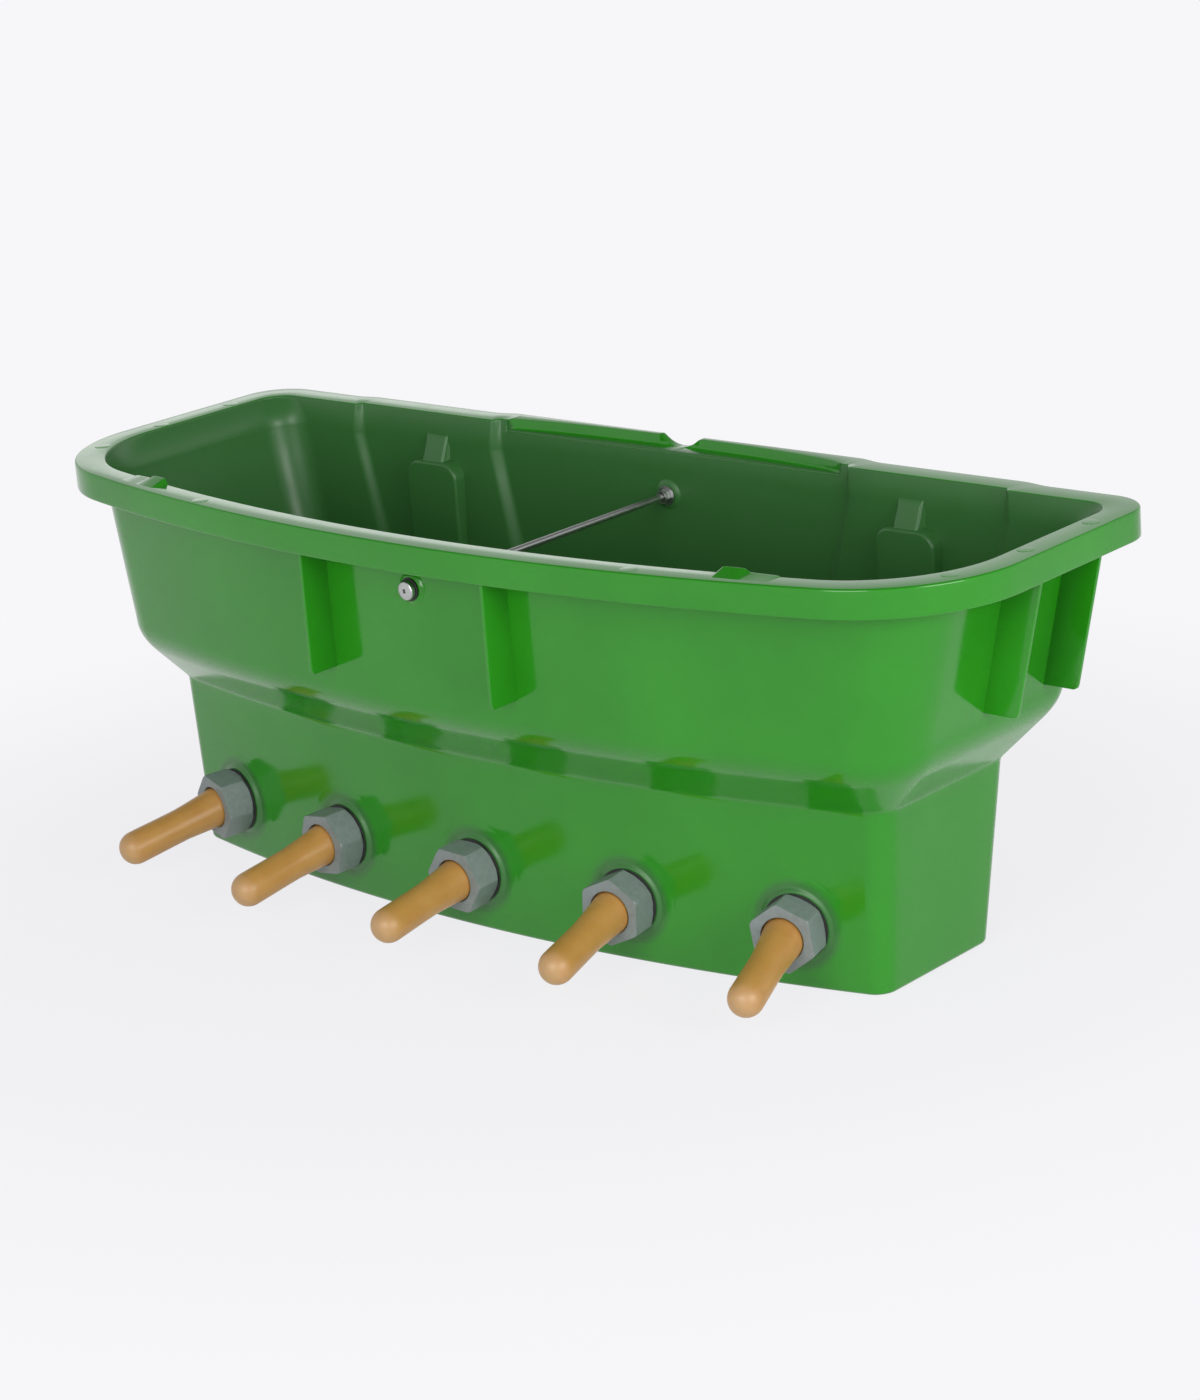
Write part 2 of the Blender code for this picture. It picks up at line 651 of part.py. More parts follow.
def rim_tabs(cutters):
    """Wedge-shaped tabs that stand on the front rim near its ends."""
    tabs = []
    far = TAB_X + TAB_LENGTH
    middle = TAB_X + TAB_LENGTH / 2
    front = rim_plan.front_at(middle) + TAB_FRONT_INSET
    back = mouth_plan.front_at(middle) - TAB_FRONT_INSET / 3
    outline = [(TAB_X, RIM_HEIGHT - SINK), (TAB_X, RIM_HEIGHT + TAB_HEIGHT / 2),
               (TAB_X + TAB_RUN_UP, RIM_HEIGHT + TAB_HEIGHT), (far, RIM_HEIGHT + TAB_HEIGHT / 5),
               (far, RIM_HEIGHT - SINK)]
    for index, side in enumerate((-1, 1)):
        mirrored = [(side * first, second) for first, second in outline]
        tabs.append(plate("rim_tab_%d" % (index + 1), mirrored, front, back, "Y", cutters))
    return tabs


def build_tub(collection, cutters):
    tub = build_shell(collection)
    pads, holes = valve_pads(cutters)
    small_pads, small_holes = tie_pads(cutters)
    bosses, pockets = hanger_pockets(cutters)
    blocks, recesses = back_rim(cutters)
    added = front_ribs(cutters) + side_ribs(cutters) + pads + small_pads + bosses + blocks
    added += rim_tabs(cutters)
    for form in added:
        add_boolean(tub, "UNION", form)
    for form in holes + small_holes + pockets + recesses:
        add_boolean(tub, "DIFFERENCE", form)
    return tub


def station_matrix(index):
    """Frame on the pad face: local Z along the teat, X level, Y upward."""
    order = index - (len(STATION_X) - 1) / 2
    fan = math.radians(STATION_FAN * order)
    tilt = math.radians(STATION_TILT)
    outward = Vector((math.sin(fan) * math.cos(tilt), -math.cos(fan) * math.cos(tilt),
                      -math.sin(tilt)))
    level = Vector((-outward.y, outward.x, 0.0)).normalized()
    upward = outward.cross(level)
    wall = wall_plan(STATION_HEIGHT).front_at(STATION_X[index])
    matrix = Matrix((level, upward, outward)).transposed().to_4x4()
    matrix.translation = Vector((STATION_X[index], wall, STATION_HEIGHT)) + outward * PAD_PROUD
    return matrix


# Levels along a teat station, measured out from the pad face
NUT_BACK = SEAL_THICKNESS + FIT_GAP
NUT_FACE = SEAL_THICKNESS + NUT_DEPTH
LIP_INNER = NUT_FACE - NUT_LIP
TEAT_FLANGE_TOP = LIP_INNER - FIT_GAP
TEAT_FLANGE_BOTTOM = TEAT_FLANGE_TOP - TEAT_FLANGE
SPIGOT_END = TEAT_FLANGE_BOTTOM - FIT_GAP
GASKET_TOP = -PAD_DEPTH - FIT_GAP
GASKET_BOTTOM = GASKET_TOP - SEAL_THICKNESS
FLANGE_TOP = GASKET_BOTTOM - FIT_GAP
FLANGE_BOTTOM = FLANGE_TOP - FLANGE_THICKNESS
BALL_CLOSED = FLANGE_TOP + math.sqrt(BALL_RADIUS ** 2 - SEAT_HOLE_RADIUS ** 2) + FIT_GAP
BALL_REST = BALL_CLOSED + BALL_TRAVEL
STUB_END = BALL_REST + BALL_RADIUS + FIT_GAP
RING_BORE_RADIUS = THREAD_RADIUS + FIT_GAP
NUT_ACROSS_FLATS = 2.0 * (RING_BORE_RADIUS + NUT_WALL - FIT_GAP)


def build_valve_body(number, matrix, collection):
    """Flange inside the tub, threaded spigot through the wall, seat for the ball."""
    ball_bore_end = FLANGE_TOP + BALL_BORE_DEPTH
    profile = [(FLANGE_RADIUS, FLANGE_BOTTOM), (FLANGE_RADIUS, FLANGE_TOP),
               (THREAD_RADIUS, FLANGE_TOP), (THREAD_RADIUS, SPIGOT_END - SPIGOT_CHAMFER),
               (THREAD_RADIUS - SPIGOT_CHAMFER, SPIGOT_END), (SPIGOT_BORE_RADIUS, SPIGOT_END),
               (SPIGOT_BORE_RADIUS, ball_bore_end), (BALL_BORE_RADIUS, ball_bore_end),
               (BALL_BORE_RADIUS, FLANGE_TOP + SEAT_DEPTH), (SEAT_HOLE_RADIUS, FLANGE_TOP),
               (SEAT_HOLE_RADIUS, FLANGE_BOTTOM)]
    return turned("valve_body_%d" % number, profile, matrix, collection, ring=True)


def build_ring(name, bore, radius, low, high, matrix, collection, steps=TURN_STEPS):
    profile = [(bore, low), (radius, low), (radius, high), (bore, high)]
    return turned(name, profile, matrix, collection, ring=True, steps=steps)


def build_union_nut(number, matrix, collection, cutters):
    """A six-sided prism trimmed by the turned blank that gives its chamfers and bore."""
    corner = NUT_ACROSS_FLATS / math.sqrt(3.0)
    crown = corner + FIT_GAP
    profile = [(RING_BORE_RADIUS, NUT_BACK), (corner - NUT_BACK_CHAMFER, NUT_BACK),
               (crown, NUT_BACK + NUT_BACK_CHAMFER), (crown, NUT_FACE - NUT_FRONT_CHAMFER),
               (corner - NUT_FRONT_CHAMFER, NUT_FACE), (NUT_MOUTH_RADIUS, NUT_FACE),
               (NUT_MOUTH_RADIUS, LIP_INNER), (RING_BORE_RADIUS, LIP_INNER)]
    blank = turned("nut_blank_%d" % number, profile, matrix, cutters, ring=True)
    nut = hexagon("union_nut_%d" % number, NUT_ACROSS_FLATS, NUT_BACK - SINK, NUT_FACE + SINK,
                  matrix, collection, NUT_TURN[number - 1])
    add_boolean(nut, "INTERSECT", blank)
    return nut


def build_teat(number, matrix, collection):
    """Flange held by the nut, stub that stops the ball, shaft that droops a little."""
    profile = [(0.0, STUB_END), (TEAT_STUB_RADIUS - SPIGOT_CHAMFER, STUB_END),
               (TEAT_STUB_RADIUS, STUB_END + SPIGOT_CHAMFER),
               (TEAT_STUB_RADIUS, TEAT_FLANGE_BOTTOM), (TEAT_FLANGE_RADIUS, TEAT_FLANGE_BOTTOM),
               (TEAT_FLANGE_RADIUS, TEAT_FLANGE_TOP), (TEAT_ROOT_RADIUS, TEAT_FLANGE_TOP),
               (TEAT_ROOT_RADIUS, NUT_FACE)]
    straight = TEAT_LENGTH - TEAT_TIP_RADIUS
    for share in (0.14, 0.42, 0.72):
        radius = TEAT_ROOT_RADIUS + (TEAT_TIP_RADIUS - TEAT_ROOT_RADIUS) * share ** 0.7
        profile.append((radius, NUT_FACE + straight * share))
    for step in range(6):
        angle = math.pi / 2 * step / 5
        radius = TEAT_TIP_RADIUS * math.cos(angle) if step < 5 else 0.0
        profile.append((radius, NUT_FACE + straight + TEAT_TIP_RADIUS * math.sin(angle)))
    form = turned("teat_%d_straight" % number, profile, matrix, collection)
    depsgraph = bpy.context.evaluated_depsgraph_get()
    mesh = bpy.data.meshes.new_from_object(form.evaluated_get(depsgraph))
    bpy.data.objects.remove(form, do_unlink=True)
    droop = Matrix.Rotation(math.radians(TEAT_DROOP[number - 1]), 3, "X")
    swing = Matrix.Rotation(math.radians(TEAT_SWING[number - 1]), 3, "Y")
    pivot = Vector((0.0, 0.0, NUT_FACE))
    for vertex in mesh.vertices:
        share = min(max((vertex.co.z - NUT_FACE) / TEAT_BEND, 0.0), 1.0)
        bent = swing @ droop @ (vertex.co - pivot)
        vertex.co = pivot + (vertex.co - pivot).lerp(bent, share)
    teat = place(add_object("teat_%d" % number, mesh, collection), matrix)
    smooth(teat)
    return teat


def build_ball(number, matrix, collection):
    """The ball rests against the stub, because the spigot slopes down outward."""
    form = bmesh.new()
    bmesh.ops.create_uvsphere(form, u_segments=10, v_segments=7, radius=BALL_RADIUS)
    mesh = bpy.data.meshes.new("valve_ball")
    form.to_mesh(mesh)
    form.free()
    ball = add_object("valve_ball_%d" % number, mesh, collection)
    smooth(ball)
    return place(ball, matrix @ Matrix.Translation((0.0, 0.0, BALL_REST)))


def build_station(number, collection, cutters):
    matrix = station_matrix(number - 1)
    paint(build_valve_body(number, matrix, collection), "D9DAD4", 0.40)
    outer_seal = build_ring("outer_seal_%d" % number, RING_BORE_RADIUS, SEAL_RADIUS, FIT_GAP,
                            SEAL_THICKNESS, matrix, collection)
    paint(outer_seal, "1A1B1A", 0.70)
    gasket = build_ring("inner_gasket_%d" % number, RING_BORE_RADIUS, FLANGE_RADIUS,
                        GASKET_BOTTOM, GASKET_TOP, matrix, collection)
    paint(gasket, "1A1B1A", 0.70)
    paint(build_union_nut(number, matrix, collection, cutters), "7D8883", 0.45)
    paint(build_teat(number, matrix, collection), "B5864A", 0.50)
    paint(build_ball(number, matrix, collection), "E6E4DC", 0.35)


def build_tie(collection, cutters):
    """Flanged socket bolt right across the mouth, with a nut and washer at each wall."""
    matrix = tie_matrix()
    front_outer, front_inner, back_inner, back_outer = [-seat for seat in tie_seats()]
    bore = TIE_RADIUS + FIT_GAP
    head = front_outer + TIE_SEAL_THICKNESS + FIT_GAP
    washer = back_outer - TIE_SEAL_THICKNESS - FIT_GAP
    lock = washer - TIE_WASHER - FIT_GAP
    lock_low = lock - TIE_NUT_HEIGHT - TIE_RING_HEIGHT
    tail = lock - TIE_NUT_HEIGHT - TIE_RING_HEIGHT / 3
    dome = TIE_HEAD_HEIGHT - TIE_HEAD_FLANGE

    # Bolt
    profile = [(0.0, tail), (TIE_RADIUS - TIE_NUT_EDGE, tail), (TIE_RADIUS, tail + TIE_NUT_EDGE),
               (TIE_RADIUS, head), (TIE_HEAD_RADIUS, head),
               (TIE_HEAD_RADIUS, head + TIE_HEAD_FLANGE),
               (TIE_HEAD_RADIUS * 0.70, head + TIE_HEAD_FLANGE + dome * 0.10),
               (TIE_HEAD_RADIUS * 0.62, head + TIE_HEAD_FLANGE + dome * 0.60),
               (TIE_HEAD_RADIUS * 0.44, head + TIE_HEAD_HEIGHT), (0.0, head + TIE_HEAD_HEIGHT)]
    bolt = turned("tie_bolt", profile, matrix, collection, steps=SMALL_TURN_STEPS)
    socket = hexagon("tie_socket", TIE_SOCKET_WIDTH, head + TIE_SOCKET_FLOOR,
                     head + 2.0 * TIE_HEAD_HEIGHT, matrix, cutters)
    add_boolean(bolt, "DIFFERENCE", socket)
    paint(bolt, "B9BBB8", 0.30, 1.0)

    # Rubber rings and washers
    rings = (("tie_front_seal", front_outer + FIT_GAP, front_outer + TIE_SEAL_THICKNESS,
              TIE_SEAL_RADIUS),
             ("tie_front_inner_washer", front_inner - FIT_GAP - TIE_WASHER,
              front_inner - FIT_GAP, TIE_WASHER_RADIUS),
             ("tie_back_inner_washer", back_inner + FIT_GAP, back_inner + FIT_GAP + TIE_WASHER,
              TIE_WASHER_RADIUS),
             ("tie_back_seal", back_outer - TIE_SEAL_THICKNESS, back_outer - FIT_GAP,
              TIE_SEAL_RADIUS),
             ("tie_back_washer", washer - TIE_WASHER, washer, TIE_WASHER_RADIUS))
    for name, low, high, radius in rings:
        ring = build_ring(name, bore, radius, low, high, matrix, collection, SMALL_TURN_STEPS)
        if "seal" in name:
            paint(ring, "1A1B1A", 0.70)
        else:
            paint(ring, "B9BBB8", 0.30, 1.0)

    # Nuts: two plain ones inside the tub and one with a nylon ring behind it
    across = 2.0 * (TIE_RADIUS + TIE_NUT_WALL)
    corner = across / math.sqrt(3.0)
    crown = corner + FIT_GAP
    low = front_inner - 2.0 * FIT_GAP - TIE_WASHER - TIE_NUT_HEIGHT
    plain_front = (low, low + TIE_NUT_HEIGHT, 5.0)
    low = back_inner + 2.0 * FIT_GAP + TIE_WASHER
    plain_back = (low, low + TIE_NUT_HEIGHT, 20.0)
    for name, (low, high, turn) in (("tie_front_inner_nut", plain_front),
                                    ("tie_back_inner_nut", plain_back)):
        profile = [(bore, low), (corner - TIE_NUT_EDGE, low), (crown, low + TIE_NUT_EDGE),
                   (crown, high - TIE_NUT_EDGE), (corner - TIE_NUT_EDGE, high), (bore, high)]
        blank = turned(name + "_blank", profile, matrix, cutters, True, SMALL_TURN_STEPS)
        nut = hexagon(name, across, low - SINK, high + SINK, matrix, collection, turn)
        add_boolean(nut, "INTERSECT", blank)
        paint(nut, "B9BBB8", 0.30, 1.0)
    collar = TIE_RADIUS + TIE_NUT_WALL * 0.6
    step_level = lock_low + TIE_RING_HEIGHT
    profile = [(bore, lock_low), (collar, lock_low), (collar, step_level),
               (corner - TIE_NUT_EDGE, step_level), (crown, step_level + TIE_NUT_EDGE),
               (crown, lock - TIE_NUT_EDGE), (corner - TIE_NUT_EDGE, lock), (bore, lock)]
    blank = turned("tie_lock_nut_blank", profile, matrix, cutters, True, SMALL_TURN_STEPS)
    nut = hexagon("tie_lock_nut", across, lock_low - SINK, lock + SINK, matrix, collection, 11.0)
    add_boolean(nut, "INTERSECT", blank)
    paint(nut, "B9BBB8", 0.30, 1.0)


def paint(item, code, roughness, metallic=0.0):
    item.data.materials.append(make_material(item.name + "_finish", code, roughness, metallic))


def build():
    clear_scene()
    collection = make_collection("milk_feeding_trough")
    cutters = make_collection("cutters")
    tub = build_tub(collection, cutters)
    paint(tub, "3F9433", 0.28)
    smooth(tub, 30.0)
    for number in range(1, len(STATION_X) + 1):
        build_station(number, collection, cutters)
    build_tie(collection, cutters)


build()
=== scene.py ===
# %% [markdown]
# # A milk feeding trough for five calves
# The real object is one deep green plastic tub. Five soft teats stand in a row along its foot,
# each held by a grey union nut, and a steel bolt ties the two long walls together at the top.
# The imported CAD model is the frame that everything here is fitted to: it has the right sizes,
# the bodies that move and a plain finish. We load it first.

import math
from collections import namedtuple

import bmesh
import bpy
from mathutils import Matrix, Vector


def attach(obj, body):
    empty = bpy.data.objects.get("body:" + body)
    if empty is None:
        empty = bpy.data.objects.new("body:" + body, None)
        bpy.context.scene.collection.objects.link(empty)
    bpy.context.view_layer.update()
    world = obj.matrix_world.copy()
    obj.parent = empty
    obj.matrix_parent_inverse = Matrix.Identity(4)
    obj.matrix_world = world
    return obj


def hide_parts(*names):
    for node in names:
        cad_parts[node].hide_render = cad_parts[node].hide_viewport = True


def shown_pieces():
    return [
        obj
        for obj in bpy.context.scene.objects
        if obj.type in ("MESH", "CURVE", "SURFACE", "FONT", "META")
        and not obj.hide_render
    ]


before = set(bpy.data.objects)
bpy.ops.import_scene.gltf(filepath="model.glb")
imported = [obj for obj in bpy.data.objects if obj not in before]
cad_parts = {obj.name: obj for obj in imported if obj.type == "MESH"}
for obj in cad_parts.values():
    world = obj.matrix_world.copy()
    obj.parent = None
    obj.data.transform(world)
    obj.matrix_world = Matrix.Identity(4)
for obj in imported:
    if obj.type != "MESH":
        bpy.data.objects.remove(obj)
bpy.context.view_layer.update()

# %% [markdown]
# ## Sizes of the tub
# A tub like this is drawn as a stack of level outlines: the foot, the top of the narrow well,
# the bottom and top of the wide part, the rim and the mouth. Every height and reach is a real
# size in metres. Nearly all are the CAD model's own, so the finer surface lies on its surface.
# GAP is the clearance between two pieces that touch in the real trough.

# %% Heights of the tub's bands
BASE_EDGE = 0.0040
WELL_TOP = 0.138
WIDE_BOTTOM = 0.194
WIDE_TOP = 0.300
RIM_TOP = 0.326
RIM_UNDERSIDE = 0.3225
SKIRT_BOTTOM = 0.3037
WALL = 0.004
FLOOR_LEVEL = 0.0045
FLOOR_FILLET = 0.0040
RIM_ROUND = 0.0016
SKIRT_THICK = 0.003
RECESS_DEPTH = 0.008
RECESS_HALF = 0.172
BLOCK_DEPTH = 0.013
GAP = 0.0003
print("rim stands", RIM_TOP * 1000, "mm above the floor")

# %% [markdown]
# ## Level outlines
# Each outline has a straight back with two small steps in it, nearly straight ends and a bowed
# front, joined by round corners. A named tuple holds its numbers. Two outlines mix number by
# number, which gives every section in between, and an outline grows by moving all its sides.

# %% Outlines as numbers
Plan = namedtuple("Plan", "half front back bow front_corner back_corner splay "
                          "inner_x outer_x inner_step outer_step run")


def mix(first, second, share):
    return Plan(*[a + (b - a) * share for a, b in zip(first, second)])


def grow(plan, distance):
    return plan._replace(half=plan.half + distance, front=plan.front - distance,
                         back=plan.back + distance, bow=plan.bow + distance,
                         front_corner=plan.front_corner + distance,
                         back_corner=plan.back_corner + distance)


def front_line(plan, x):
    return plan.front + plan.bow - math.sqrt(plan.bow ** 2 - x * x)


def end_line(plan, y):
    return plan.half + plan.splay * (plan.back - y)


def back_line(plan):
    return plan.back + plan.inner_step + plan.outer_step


base = Plan(0.3515, -0.0890, 0.0890, 1.46, 0.018, 0.015, 0.010, 0.152, 0.279, 0.0, 0.0, 0.006)
well = Plan(0.3595, -0.0925, 0.1080, 1.46, 0.022, 0.018, 0.010, 0.152, 0.279, 0.0, 0.0, 0.006)
wide_low = Plan(0.3941, -0.1325, 0.1500, 1.46, 0.060, 0.030, 0.010, 0.1557, 0.3030,
                0.0061, 0.0052, 0.007)
wide_high = Plan(0.4185, -0.1340, 0.1550, 1.46, 0.062, 0.032, 0.010, 0.181, 0.332,
                 0.0061, 0.0052, 0.006)
rim = Plan(0.4500, -0.1620, 0.1780, 1.485, 0.118, 0.037, 0.020, 0.1864, 0.342,
           0.00488, 0.00416, 0.013)
mouth = Plan(0.4270, -0.1390, 0.1537, 1.500, 0.105, 0.0224, 0.020, 0.181, 0.332,
             0.0061, 0.0052, 0.003)
print("rim is", 2 * rim.half * 1000, "mm long at its back edge")

# %% [markdown]
# ## From numbers to points
# Along the back the points stand close together near the middle, where the pouring notch is, and
# near the end of the recess, where its edge turns sharply. The steps are eased curves, and the
# corners are arcs that touch the sides next to them. The left half mirrors the right half.

# %% Points of an outline
BACK_STOPS = [0.0015 * step for step in range(15)]
BACK_STOPS += [0.0225 + 0.0070 * step for step in range(20)]
BACK_STOPS += [0.1600, 0.1635, 0.1665, 0.1690, 0.1706, 0.1715, RECESS_HALF - 0.0001, 0.1725]
SIDE_SHARES = (0.2, 0.4, 0.6, 0.8)


def ease(share):
    return share * share * (3.0 - 2.0 * share)


def clamp(value):
    return min(1.0, max(0.0, value))


def step_points(x, from_y, to_y, run):
    return [(x + run * (2.0 * share - 1.0), from_y + (to_y - from_y) * ease(share))
            for share in [index / 8 for index in range(9)]]


def arc_points(centre, radius, start, end, count):
    angles = [start + (end - start) * index / count for index in range(count + 1)]
    return [(centre.x + radius * math.cos(a), centre.y + radius * math.sin(a)) for a in angles]


def half_outline(plan):
    """Points from the middle of the back, round the right end, to the middle of the front."""
    lean = math.atan(plan.splay)
    forward = Vector((math.sin(lean), -math.cos(lean)))
    outward = Vector((math.cos(lean), math.sin(lean)))
    start = Vector((plan.half, plan.back))
    centre = Vector((0.0, plan.front + plan.bow))
    offset = start - outward * plan.front_corner - centre
    along = offset.dot(forward)
    spare = (plan.bow - plan.front_corner) ** 2 - offset.dot(offset)
    reach = math.sqrt(along * along + spare) - along
    corner = start - outward * plan.front_corner + forward * reach
    heel = start - outward * plan.back_corner
    heel = heel + forward * ((plan.back - plan.back_corner - heel.y) / forward.y)

    middle = back_line(plan)
    between = plan.back + plan.outer_step
    width = min(1.0, (plan.inner_x - plan.run) / BACK_STOPS[-1])
    points = [(x * width, middle) for x in BACK_STOPS]
    points += step_points(plan.inner_x, middle, between, plan.run)
    length = plan.outer_x - plan.inner_x - 2.0 * plan.run
    points += [(plan.inner_x + plan.run + length * share, between) for share in SIDE_SHARES]
    points += step_points(plan.outer_x, between, plan.back, plan.run)
    points += arc_points(heel, plan.back_corner, math.pi / 2, lean, 12)
    side_start = Vector(points[-1])
    side_end = corner + outward * plan.front_corner
    points += [tuple(side_start.lerp(side_end, share)) for share in SIDE_SHARES]
    turned = math.atan2(corner.y - centre.y, corner.x)
    points += arc_points(corner, plan.front_corner, lean, turned, 20)
    points += arc_points(centre, plan.bow, turned, -math.pi / 2, 34)[1:]
    return points


def ring(plan, height):
    right = half_outline(plan)
    left = [(-x, y) for x, y in right[1:-1]]
    return [Vector((x, y, height)) for x, y in right + left[::-1]]


print("each outline has", len(ring(rim, RIM_TOP)), "points")

# %% [markdown]
# ## Drawing a skin by extruding
# By hand, a moulded shell starts as a circle: put its points on the first outline, press E to
# extrude, put the new points on the next outline, and so on. This helper does that with the same
# operators. Each point carries its number round the ring, which extruding copies.

# %% A helper that extrudes from ring to ring
MERGE_UNDER = 0.00001


def select_only(piece=None):
    bpy.ops.object.select_all(action="DESELECT")
    if piece:
        piece.select_set(True)
        bpy.context.view_layer.objects.active = piece


def put_selected(mesh, points):
    form = bmesh.from_edit_mesh(mesh)
    order = form.verts.layers.int["order"]
    for vertex in form.verts:
        if vertex.select:
            vertex.co = points[vertex[order]]
    bmesh.update_edit_mesh(mesh)


def select_first(mesh, count):
    form = bmesh.from_edit_mesh(mesh)
    bpy.ops.mesh.select_all(action="DESELECT")
    for vertex in form.verts:
        if vertex.index < count:
            vertex.select = True
    form.select_flush(True)
    bmesh.update_edit_mesh(mesh)


def skin(name, rings, caps=True, angle=32.0):
    """A closed surface through the rings: all have as many points, and caps close both ends."""
    select_only()
    count = len(rings[0])
    bpy.ops.mesh.primitive_circle_add(vertices=count, radius=0.01)
    piece = bpy.context.object
    piece.name = piece.data.name = name
    numbers = piece.data.attributes.new("order", "INT", "POINT")
    numbers.data.foreach_set("value", list(range(count)))
    bpy.ops.object.mode_set(mode="EDIT")
    bpy.ops.mesh.select_mode(type="VERT")
    bpy.ops.mesh.select_all(action="SELECT")
    put_selected(piece.data, rings[0])
    for points in rings[1:]:
        bpy.ops.mesh.extrude_region_move()
        put_selected(piece.data, points)
    if caps:
        bpy.ops.mesh.edge_face_add()
        select_first(piece.data, count)
        bpy.ops.mesh.edge_face_add()
    bpy.ops.mesh.select_all(action="SELECT")
    bpy.ops.mesh.remove_doubles(threshold=MERGE_UNDER)
    bpy.ops.mesh.dissolve_degenerate(threshold=MERGE_UNDER / 10)
    bpy.ops.mesh.select_all(action="SELECT")
    bpy.ops.mesh.normals_make_consistent(inside=False)
    bpy.ops.object.mode_set(mode="OBJECT")
    piece.data.attributes.remove(piece.data.attributes["order"])
    bpy.ops.object.shade_smooth_by_angle(angle=math.radians(angle))
    return piece


def place_piece(piece, matrix):
    """Moves the mesh itself, so that the object stays at the origin as the CAD nodes do."""
    piece.data.transform(matrix)
    return piece


def finish_piece(piece, body, slot, *replaced):
    """Ties a piece to the body it moves with, and hides the CAD nodes that it stands for."""
    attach(piece, body)
    if replaced:
        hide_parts(*replaced)


# %% [markdown]
# ## The tub
# The outlines run up the outside, over the rim and down the inside, so one skin gives a wall with
# real thickness. In the middle of the back the rim is thicker and has a shallow arched recess
# with a scooped pouring notch through its lip, which holds the stream when the tub is tipped.

# %% Rings up the outside of the tub
BLOCK_HALF = 0.178
BLOCK_SLOPE = 1.2
SHOULDER_HOLLOW = 0.08
SHOULDER_ROUND = 0.45
SHOULDER_STEPS = 25
WIDE_SHARES = (0.0, 0.06, 0.2, 0.4, 0.6, 0.8, 1.0)


def quarter(count):
    """Sine and cosine in even steps of a quarter turn."""
    angles = [math.pi / 2 * index / count for index in range(count + 1)]
    return [(math.sin(angle), math.cos(angle)) for angle in angles]


def round_edge(plan, reach, height, rise, steps=4, from_side=False):
    """Rings round a quarter circle that touches the plan's side and this height."""
    arc = [(c, s) if from_side else (s, c) for s, c in quarter(steps)]
    return [ring(grow(plan, reach * (1.0 - s)), height + rise * (1.0 - c)) for s, c in arc]


def band(first, second, shares, low, high, inward=0.0):
    """Rings between two plans, and between two heights."""
    return [ring(grow(mix(first, second, share), -inward), low + (high - low) * share)
            for share in shares]


def swell(share):
    """Reach of the shoulder: a tight hollow at its foot, a straight slant, then a wide round."""
    steep = 2.0 / (2.0 - SHOULDER_HOLLOW - SHOULDER_ROUND)
    if share < SHOULDER_HOLLOW:
        return steep * share ** 2 / (2.0 * SHOULDER_HOLLOW)
    if share < 1.0 - SHOULDER_ROUND:
        return steep * (share - SHOULDER_HOLLOW / 2.0)
    return 1.0 - steep * (1.0 - share) ** 2 / (2.0 * SHOULDER_ROUND)


def underside(points):
    """The thick middle of the back rim reaches lower than the rest, and slopes up at its ends."""
    low = RIM_TOP - BLOCK_DEPTH
    return [Vector((p.x, p.y, min(p.z, low + BLOCK_SLOPE * max(0.0, abs(p.x) - BLOCK_HALF))))
            if p.y > 0.0 else p for p in points]


flared = grow(mouth, WALL)
skirt_inner = grow(rim, -SKIRT_THICK)

outside = round_edge(base, -BASE_EDGE, 0.0, BASE_EDGE, 5)
outside += band(base, well, (0.08, 0.25, 0.5, 0.75, 0.92, 1.0), BASE_EDGE, WELL_TOP)
for index in range(1, SHOULDER_STEPS):
    share = index / SHOULDER_STEPS
    outside.append(ring(mix(well, wide_low, swell(share)),
                        WELL_TOP + (WIDE_BOTTOM - WELL_TOP) * share))
outside += band(wide_low, wide_high, WIDE_SHARES, WIDE_BOTTOM, WIDE_TOP)
for index in range(1, 11):
    share = index / 10
    height = WIDE_TOP + (RIM_UNDERSIDE - WIDE_TOP) * share
    outside.append(underside(ring(mix(wide_high, flared, share ** 1.6), height)))
print(len(outside), "rings up the outside")

# %% [markdown]
# The rim's underside meets the skirt in a small fillet, the skirt ends in a rounded edge, and the
# top of the rim has soft edges on both sides. Soft edges matter: they catch a thin line of light,
# which is what makes a moulding look moulded.

# %% Rings round the skirt and over the rim
FILLET = 0.0015
SKIRT_ROUND = 0.0013
NOTCH_HALF = 0.0205


def notch(x):
    """Depth of the scooped pouring notch at a place along the rim."""
    share = abs(x) / NOTCH_HALF
    return RECESS_DEPTH * (1.0 - share ** 2.2) if share < 1.0 else 0.0


def cut_notch(points):
    return [Vector((p.x, p.y, p.z - notch(p.x))) if p.y > 0.0 else p for p in points]


over_rim = round_edge(skirt_inner, -FILLET, RIM_UNDERSIDE, -FILLET)
over_rim += [ring(skirt_inner, height) for height in (0.3110, SKIRT_BOTTOM + SKIRT_ROUND)]
over_rim = [underside(points) for points in over_rim]
over_rim += round_edge(skirt_inner, SKIRT_ROUND, SKIRT_BOTTOM, SKIRT_ROUND, from_side=True)[1:]
over_rim += round_edge(rim, -SKIRT_ROUND, SKIRT_BOTTOM, SKIRT_ROUND)
over_rim += band(rim, rim, (0.3, 0.55), SKIRT_BOTTOM, RIM_TOP)
over_rim += [cut_notch(points)
             for points in round_edge(rim, -RIM_ROUND, RIM_TOP, -RIM_ROUND, from_side=True)]

# %% [markdown]
# The recess is an arch seen from above: its rounded lip runs from one end of the thick part, back
# almost to the outer edge, and forward again. Away from the recess these rings fall together on
# the mouth's edge, and merging the doubles removes them there.

